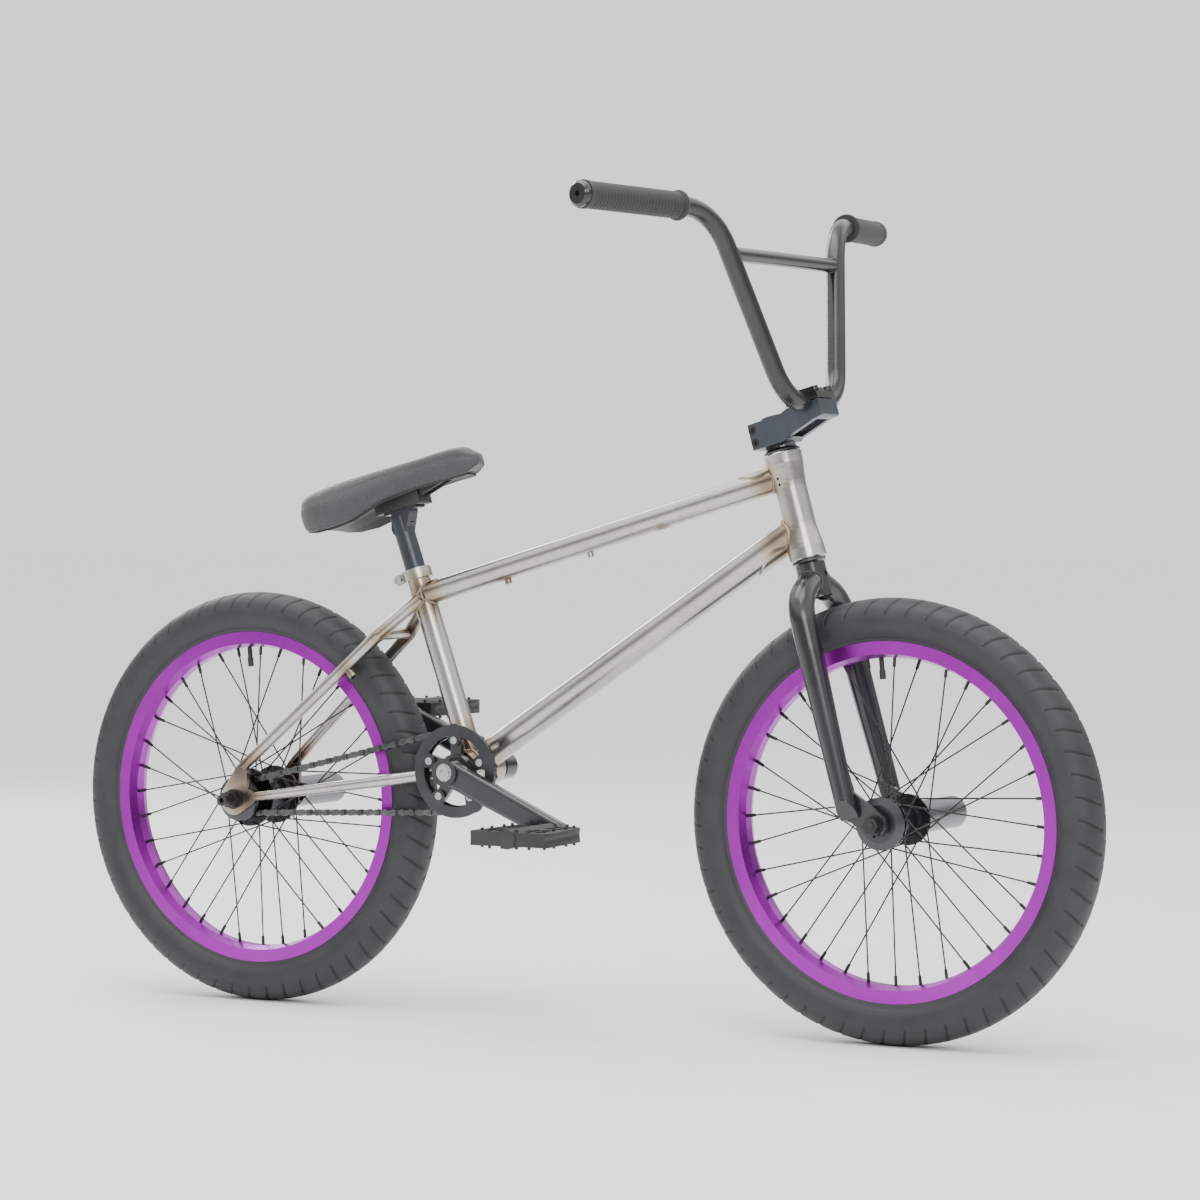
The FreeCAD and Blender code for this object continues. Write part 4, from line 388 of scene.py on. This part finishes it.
shoulder = maths(sipe, "GREATER_THAN", off, 0.12)
sipe.links.new(maths(sipe, "MULTIPLY", line, maths(sipe, "MULTIPLY", crown, shoulder)), go.inputs["Mask"])


def rubber():
    """Charcoal tread rubber, scuffed grey, with painted shade darkening the cross cuts."""
    mat, tree, bsdf, coords = start("tyre_rubber")
    g = use(tree, grain, Vector=coords, Fine_scale=1600.0, Patch_scale=30.0)
    spread = remap(tree, g.outputs["Patches"], 0.3, 0.7, 0.0, 1.0)
    colour = blend_colour(tree, spread, (0.017, 0.0175, 0.019), (0.030, 0.031, 0.034))
    marks = use(tree, scratch, Vector=coords, Share=0.10).outputs["Mask"]
    colour = blend_colour(tree, maths(tree, "MULTIPLY", marks, 0.6), colour, (0.065, 0.065, 0.068))
    cuts = use(tree, sipe, Vector=coords).outputs["Mask"]
    # painted shade: the sipe mask turns the cross cuts near black, for the shade inside the grooves
    colour = blend_colour(tree, cuts, colour, (0.004, 0.004, 0.0045))
    tree.links.new(colour, bsdf.inputs["Base Color"])
    tree.links.new(remap(tree, g.outputs["Patches"], 0.25, 0.75, 0.48, 0.62), bsdf.inputs["Roughness"])
    height = maths(tree, "SUBTRACT", maths(tree, "MULTIPLY", g.outputs["Height"], 0.4), cuts)
    bump(tree, bsdf, height, 0.5, 0.0006)
    return mat


tyre_mat = rubber()


def leather():
    """Grained synthetic cover: cells for the grain, with painted shade darkening the hollows between them."""
    mat, tree, bsdf, coords = start("saddle_leather")
    g = use(tree, grain, Vector=coords, Fine_scale=1500.0, Patch_scale=22.0)
    cells = tree.nodes.new("ShaderNodeTexVoronoi")
    cells.feature = "DISTANCE_TO_EDGE"
    cells.inputs["Scale"].default_value = 620.0
    cells.inputs["Randomness"].default_value = 0.9
    tree.links.new(coords, cells.inputs["Vector"])
    creases = remap(tree, cells.outputs["Distance"], 0.0, 0.16, 0.0, 1.0)
    spread = remap(tree, g.outputs["Patches"], 0.3, 0.7, 0.0, 1.0)
    colour = blend_colour(tree, spread, (0.034, 0.034, 0.037), (0.058, 0.058, 0.062))
    # painted shade: the hollows at the cell edges are darkened towards near black
    colour = blend_colour(tree, maths(tree, "SUBTRACT", 1.0, creases), colour, (0.018, 0.018, 0.02))
    tree.links.new(colour, bsdf.inputs["Base Color"])
    tree.links.new(remap(tree, g.outputs["Patches"], 0.25, 0.75, 0.44, 0.6), bsdf.inputs["Roughness"])
    bsdf.inputs["Sheen Weight"].default_value = 0.25
    bsdf.inputs["Coat Weight"].default_value = 0.08
    bsdf.inputs["Coat Roughness"].default_value = 0.35
    height = maths(tree, "ADD", creases, maths(tree, "MULTIPLY", g.outputs["Height"], 0.5))
    bump(tree, bsdf, height, 0.35, 0.0004)
    return mat


leather_mat = leather()
thread_mat = coat("saddle_thread", (0.045, 0.045, 0.047), (0.07, 0.07, 0.073), 0.0, 0.7, 0.08,
                  fine=4000.0, sheen=0.3)

# ------------------------------------------------------------------ tyres
SECTION = [(0.0166, RIM_R - 0.0048), (0.0166, RIM_R + 0.0006), (0.0226, RIM_R + RISE * 0.11),
           (0.0274, RIM_R + RISE * 0.27), (HALF_W, RIM_R + RISE * 0.47), (0.0270, RIM_R + RISE * 0.68),
           (0.0209, RIM_R + RISE * 0.85), (0.0110, RIM_R + RISE * 0.965), (0.0, TYRE_R)]


def smooth_line(points, steps):
    """Catmull-Rom line through 2-D points."""
    out = []
    for i in range(len(points) - 1):
        p0 = points[max(i - 1, 0)]
        p1 = points[i]
        p2 = points[i + 1]
        p3 = points[min(i + 2, len(points) - 1)]
        for k in range(steps):
            t = k / steps
            row = []
            for a, b, c, d in zip(p0, p1, p2, p3):
                row.append(0.5 * (2 * b + (c - a) * t + (2 * a - 5 * b + 4 * c - d) * t * t
                                  + (3 * b - a - 3 * c + d) * t ** 3))
            out.append(tuple(row))
    out.append(tuple(points[-1]))
    return out


def groove(x, half, soft):
    """1 inside a groove of that half width, falling to 0 over a soft edge."""
    return max(0.0, min(1.0, (half + soft - abs(x)) / soft))


def tyre(name, node, body, centre):
    """Smooth-crowned tyre with curved cross sipes, shoulder grooves and side wall ribs."""
    right = smooth_line(SECTION, 4)
    outer = [(-y, r) for y, r in right] + [(y, r) for y, r in reversed(right[:-1])]
    inner = [(y * 0.80, r - 0.0055) for y, r in outer[5:-5]]
    around = 1044
    verts = []
    for i in range(around):
        a = 2 * math.pi * i / around
        for y, r in outer:
            lift = 0.0
            bend = SIPE_BEND * (1 - (abs(y) / HALF_W) ** 1.6) if abs(y) < HALF_W else 0.0
            phase = ((a + bend + (math.pi / SIPES if y > 0 else 0.0)) * SIPES / (2 * math.pi)) % 1.0
            if r > RIM_R + RISE * 0.60 and abs(y) > 0.0035:
                lift = -0.0016 * groove(phase - 0.5, 0.03, 0.05)
            if abs(r - (RIM_R + RISE * 0.66)) < 0.0016:
                lift = min(lift, -0.0007)
            if abs(r - (RIM_R + RISE * 0.27)) < 0.0012:
                lift = -0.0005
            verts.append(V((centre.x + (r + lift) * math.cos(a), y, centre.z + (r + lift) * math.sin(a))))
        for y, r in reversed(inner):
            verts.append(V((centre.x + r * math.cos(a), y, centre.z + r * math.sin(a))))
    ob = solid(name, verts, grid_faces(around, len(outer) + len(inner), True, True), tyre_mat)
    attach(ob, body)
    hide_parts(node)
    return ob


front_c = V((AXLE_X, 0, TYRE_R))
rear_c = V((-AXLE_X, 0, TYRE_R))
tyre("front_tyre_tread", "front_tyre", "front_wheel", front_c)
tyre("rear_tyre_tread", "rear_tyre", "rear_wheel", rear_c)

# ------------------------------------------------------------------ saddle cover
TILT = math.radians(14.3)
PIVOT = V((-0.2247604, 0, 0.618))
S_FWD = V((math.cos(TILT), 0, math.sin(TILT)))
S_UP = V((-math.sin(TILT), 0, math.cos(TILT)))
S_O = PIVOT + S_UP * 0.026
PAD = [(-124.0, 38.0, -10.0, 14.0, 1.0), (-117.0, 52.0, -20.0, 24.0, 3.0), (-100.0, 59.0, -24.0, 28.0, 10.0),
       (-72.0, 60.0, -25.0, 30.0, 18.0), (-44.0, 55.0, -22.0, 31.0, 20.0), (-8.0, 41.0, -9.0, 32.0, 10.0),
       (34.0, 25.0, -3.5, 32.5, 4.5), (76.0, 20.5, -3.5, 33.0, 3.0), (103.0, 18.5, -4.0, 30.5, 2.0),
       (118.0, 12.0, 1.0, 20.0, 0.8)]


def pad_point(f, y, n):
    return S_O + S_FWD * (f / 1000) + V((0, y / 1000, 0)) + S_UP * (n / 1000)


def half_ring(f, w, low, top, hollow):
    tall = top - low
    return [(0, top), (w * 0.3, top - 0.4), (w * 0.55, top - 1.8), (w * 0.78, top - tall * 0.1),
            (w * 0.92, top - tall * 0.27), (w * 0.995, low + tall * 0.48), (w * 0.975, low + tall * 0.16),
            (w * 0.88, low), (w * 0.7, low + hollow * 0.35), (w * 0.4, low + hollow * 0.85), (0, low + hollow)]


stations = smooth_line(PAD, 7)
rings = []
for f, w, low, top, hollow in stations:
    half = smooth_line(half_ring(f, w, low, top, hollow), 3)
    loop = [(f, y, n) for y, n in half] + [(f, -y, n) for y, n in reversed(half[1:-1])]
    rings.append(loop)
ROWS = len(rings)
COLS = len(rings[0])
TOP_EDGE = 13             # column of the long side seam, where the crown turns down


def seam_dip(i, j):
    """How far the cover is pulled in, in millimetres, at row i and column j."""
    f = stations[i][0]
    k = j if j <= COLS // 2 else COLS - j
    dip = 0.0
    if f > -92:
        dip = max(dip, 0.9 * groove(k - TOP_EDGE, 0.3, 1.4))
    if 5 < k < 25:
        for at in (-88.0, -84.5):
            dip = max(dip, 0.7 * groove(f - at, 0.5, 2.2))
    if f < -88:
        dip = max(dip, 0.9 * groove(k - TOP_EDGE, 0.3, 1.4))
    pull = math.sin(f * 0.9 + k * 0.7) * groove(k - TOP_EDGE - 2, 0.6, 3.0)
    return dip + 0.18 * pull


verts = []
for i, loop in enumerate(rings):
    for j, (f, y, n) in enumerate(loop):
        p = pad_point(f, y, n)
        mid = pad_point(f, 0, (stations[i][2] + stations[i][3]) / 2)
        inward = (mid - p)
        if inward.length > 1e-6:
            p = p + inward.normalized() * (seam_dip(i, j) / 1000 + 0.0002)
        verts.append(p)
faces = grid_faces(ROWS, COLS, False, True)
for row, sign in ((0, -1.0), (ROWS - 1, 1.0)):
    loop = rings[row]
    f, w, low, top, hollow = stations[row]
    last = [row * COLS + j for j in range(COLS)]
    for grow, out in ((0.95, 1.8), (0.83, 3.4), (0.62, 4.8), (0.34, 5.6)):
        first = len(verts)
        for j in range(COLS):
            y = loop[j][1] * grow
            mid_n = (low + top) / 2
            n = mid_n + (loop[j][2] - mid_n) * grow
            verts.append(pad_point(f + sign * out, y, n))
        here = [first + j for j in range(COLS)]
        for j in range(COLS):
            k = (j + 1) % COLS
            faces.append((last[j], last[k], here[k], here[j]))
        last = here
    faces.append(tuple(last))
cover = solid("saddle_cover", verts, faces, leather_mat)

# the bolt is reached through a hole in the top of the cover
bm = bmesh.new()
bmesh.ops.create_cone(bm, cap_ends=True, segments=40, radius1=0.0084, radius2=0.0084, depth=0.09)
cut_mesh = bpy.data.meshes.new("well")
bm.to_mesh(cut_mesh)
bm.free()
well = link_object("well", cut_mesh)
well.matrix_world = Matrix.Translation(PIVOT + S_UP * 0.0714) @ S_UP.to_track_quat("Z", "Y").to_matrix().to_4x4()
hole = cover.modifiers.new("hole", "BOOLEAN")
hole.object = well
hole.operation = "DIFFERENCE"
hole.solver = "EXACT"
bpy.context.view_layer.update()
opened = bpy.data.meshes.new_from_object(cover.evaluated_get(bpy.context.evaluated_depsgraph_get()))
cover.modifiers.clear()
cover.data = opened
bpy.data.objects.remove(well)
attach(cover, "saddle")
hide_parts("saddle_pad")


def cover_at(i, j):
    return verts[max(0, min(ROWS - 1, i)) * COLS + j % COLS]


def stitches(name, path, length, thick):
    """Row of short raised threads along a path of points."""
    vs = []
    fs = []
    gone = 0.0
    for a, b in zip(path[:-1], path[1:]):
        span = (b - a).length
        while gone < span:
            p = a.lerp(b, gone / span)
            q = a.lerp(b, min(1.0, (gone + length * 0.62) / span))
            ends = thick * 0.55
            v, f = tube_along([p, p.lerp(q, 0.5), q], [ends, thick, ends], False, 6)
            fs.extend([tuple(x + len(vs) for x in face) for face in f])
            vs.extend(v)
            gone += length
        gone -= span
    ob = solid(name, vs, fs, thread_mat)
    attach(ob, "saddle")
    return ob


for side in (1, -1):
    tag = "left" if side > 0 else "right"
    for shift, label in ((-1, "upper"), (1, "lower")):
        col = TOP_EDGE + shift if side > 0 else COLS - TOP_EDGE - shift
        path = [cover_at(i, col) for i in range(3, ROWS - 6)]
        stitches("stitch_" + label + "_" + tag, path, 0.0036, 0.00042)
    row = min(range(ROWS), key=lambda i: abs(stations[i][0] + 80.5))
    cols = range(8, 25) if side > 0 else range(COLS - 24, COLS - 7)
    stitches("stitch_rear_" + tag, [cover_at(row, c) for c in cols], 0.0036, 0.00042)

# ------------------------------------------------------------------ weld beads
BEAD_STEPS = 240          # points round one bead


def weld(name, body, slot, p, d, r, q, e, big, size=0.0021, pitch=0.0026):
    """Rippled bead where a tube of radius r, along d from p, meets a bar of radius big, along e through q."""
    d = d.normalized()
    e = e.normalized()
    u = d.orthogonal().normalized()
    w = d.cross(u)
    ring = []
    ups = []
    for k in range(BEAD_STEPS):
        a = 2 * math.pi * k / BEAD_STEPS
        start_at = p + (u * math.cos(a) + w * math.sin(a)) * r
        rel = start_at - q
        rel = rel - e * rel.dot(e)
        slant = d - e * d.dot(e)
        square = slant.dot(slant)
        linear = 2 * rel.dot(slant)
        inside = linear * linear - 4 * square * (rel.dot(rel) - big * big)
        back = math.sqrt(inside) if inside > 0 else 0.0
        at = start_at - d * ((linear + back) / (2 * square))
        ring.append(at)
        ups.append((at - p - d * (at - p).dot(d)).normalized())
    total = sum((ring[i] - ring[i - 1]).length for i in range(len(ring)))
    count = max(8, int(total / pitch))
    radii = []
    for k in range(BEAD_STEPS):
        radii.append(size * (0.72 + 0.34 * abs(math.sin(math.pi * count * k / BEAD_STEPS))))
    vs, fs = tube_along(ring, radii, True, 8, ups)
    ob = solid(name, vs, fs, bpy.data.materials[slot])
    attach(ob, body)
    return ob


UP = V((-0.264883, 0, 0.964281))
HEAD_TOP = V((0.2999406, 0, 0.6854))
HEAD_LOW = HEAD_TOP - UP * 0.1284
BB = V((-0.1245087, 0, 0.3025))
S_AXIS = V((-0.327218, 0, 0.944949))
Y = V((0, 1, 0))
tt_a = V((-0.19837, 0, 0.5158))
tt_b = V((0.30736, 0, 0.6584))
dt_a = V((-0.11801, 0, 0.3125))
dt_b = V((0.32362, 0, 0.59919))
weld("weld_top_tube_front", "frame", "raw_steel", tt_a, tt_b - tt_a, 0.0143, HEAD_TOP, UP, 0.0192)
weld("weld_top_tube_rear", "frame", "raw_steel", tt_b, tt_a - tt_b, 0.0143, BB, S_AXIS, 0.0143)
weld("weld_down_tube_front", "frame", "raw_steel", dt_a, dt_b - dt_a, 0.01745, HEAD_TOP, UP, 0.0192, 0.0024)
weld("weld_down_tube_rear", "frame", "raw_steel", dt_b, dt_a - dt_b, 0.01745, BB, Y, 0.0237, 0.0024)
weld("weld_seat_tube_low", "frame", "raw_steel", BB + S_AXIS * 0.1, -S_AXIS, 0.0143, BB, Y, 0.0237)
for side in (1, -1):
    tag = "left" if side > 0 else "right"
    a = V((-0.24175, side * 0.0365, 0.467))
    b = V((-0.19671, side * 0.010, 0.511))
    weld("weld_seat_stay_" + tag, "frame", "raw_steel", a, b - a, 0.0082, BB, S_AXIS, 0.0143, 0.0017)
    a = V((-0.18151, side * 0.0283, 0.295))
    b = V((-0.13751, side * 0.021, 0.3015))
    weld("weld_chain_stay_" + tag, "frame", "raw_steel", a, b - a, 0.008, BB, Y, 0.0237, 0.0017)
    a = V((-0.24175, 0, 0.467))
    weld("weld_bridge_" + tag, "frame", "raw_steel", a, Y * side, 0.0065, V((-0.24175, side * 0.0365, 0.467)),
         V((0.1888, -side * 0.0215, 0.1671)), 0.0082, 0.0014)

    foot = V((0.3387664, side * 0.0649, 0.7437692))
    corner = V((0.2923359, side * 0.1579, 0.9603482))
    cross = foot.lerp(corner, 0.772)
    weld("weld_crossbar_" + tag, "steering", "bar_black", V((cross.x, 0, cross.z)), Y * side, 0.0084, foot,
         corner - foot, 0.0111, 0.0016)
    knee = HEAD_TOP - UP * 0.177 + Y * (side * 0.052)
    weld("weld_fork_" + tag, "steering", "fork_black", knee, HEAD_TOP - UP * 0.152 - knee, 0.0152, HEAD_TOP, UP,
         0.0176, 0.0016)

# ------------------------------------------------------------------ floor and light
SEEN = 1.30               # the backdrop, as bright as the far floor
white = coat("floor_white", (0.90, 0.90, 0.90), (0.93, 0.93, 0.93), 0.0, 0.85, 0.05, strength=0.02)
side = 40.0
corners = [(-side, -side, 0), (side, -side, 0), (side, side, 0), (-side, side, 0)]
floor = solid("floor", corners, [(0, 1, 2, 3)], white, False)

world = bpy.data.worlds.new("studio")
scene.world = world
world.use_nodes = True
wt = world.node_tree
wt.nodes.clear()
w_out = wt.nodes.new("ShaderNodeOutputWorld")
seen = wt.nodes.new("ShaderNodeBackground")
seen.inputs["Color"].default_value = (1, 1, 1, 1)
seen.inputs["Strength"].default_value = SEEN
lit = wt.nodes.new("ShaderNodeBackground")
up_axis = wt.nodes.new("ShaderNodeSeparateXYZ")
wt.links.new(wt.nodes.new("ShaderNodeTexCoord").outputs["Generated"], up_axis.inputs[0])
sky = wt.nodes.new("ShaderNodeValToRGB")
sky.color_ramp.elements[0].position = 0.0
sky.color_ramp.elements[0].color = (0.30, 0.30, 0.31, 1)
sky.color_ramp.elements[1].position = 1.0
sky.color_ramp.elements[1].color = (1.0, 1.0, 1.0, 1)
for at, level in ((0.16, 0.22), (0.34, 0.45), (0.42, 1.0), (0.72, 1.0), (0.80, 0.62)):
    sky.color_ramp.elements.new(at).color = (level, level, level, 1)
wt.links.new(up_axis.outputs["Z"], sky.inputs[0])
wt.links.new(sky.outputs[0], lit.inputs["Color"])
lit.inputs["Strength"].default_value = 1.7
path_node = wt.nodes.new("ShaderNodeLightPath")
mix = wt.nodes.new("ShaderNodeMixShader")
wt.links.new(path_node.outputs["Is Camera Ray"], mix.inputs[0])
wt.links.new(lit.outputs[0], mix.inputs[1])
wt.links.new(seen.outputs[0], mix.inputs[2])
wt.links.new(mix.outputs[0], w_out.inputs[0])


def lamp(name, at, to, size, power):
    data = bpy.data.lights.new(name, "AREA")
    data.shape = "RECTANGLE"
    data.size = size[0]
    data.size_y = size[1]
    data.energy = power
    ob = bpy.data.objects.new(name, data)
    ob.location = at
    ob.rotation_mode = "QUATERNION"
    ob.rotation_quaternion = (V(to) - V(at)).to_track_quat("-Z", "Y")
    scene.collection.objects.link(ob)


lamp("top_softbox", (-0.2, -0.6, 3.4), (0, 0, 0.3), (3.6, 2.2), 95.0)
lamp("front_softbox", (2.6, -3.2, 2.4), (0, 0, 0.4), (2.2, 1.6), 60.0)
lamp("rear_strip", (-3.0, 1.8, 2.2), (0, 0, 0.5), (0.8, 2.4), 45.0)
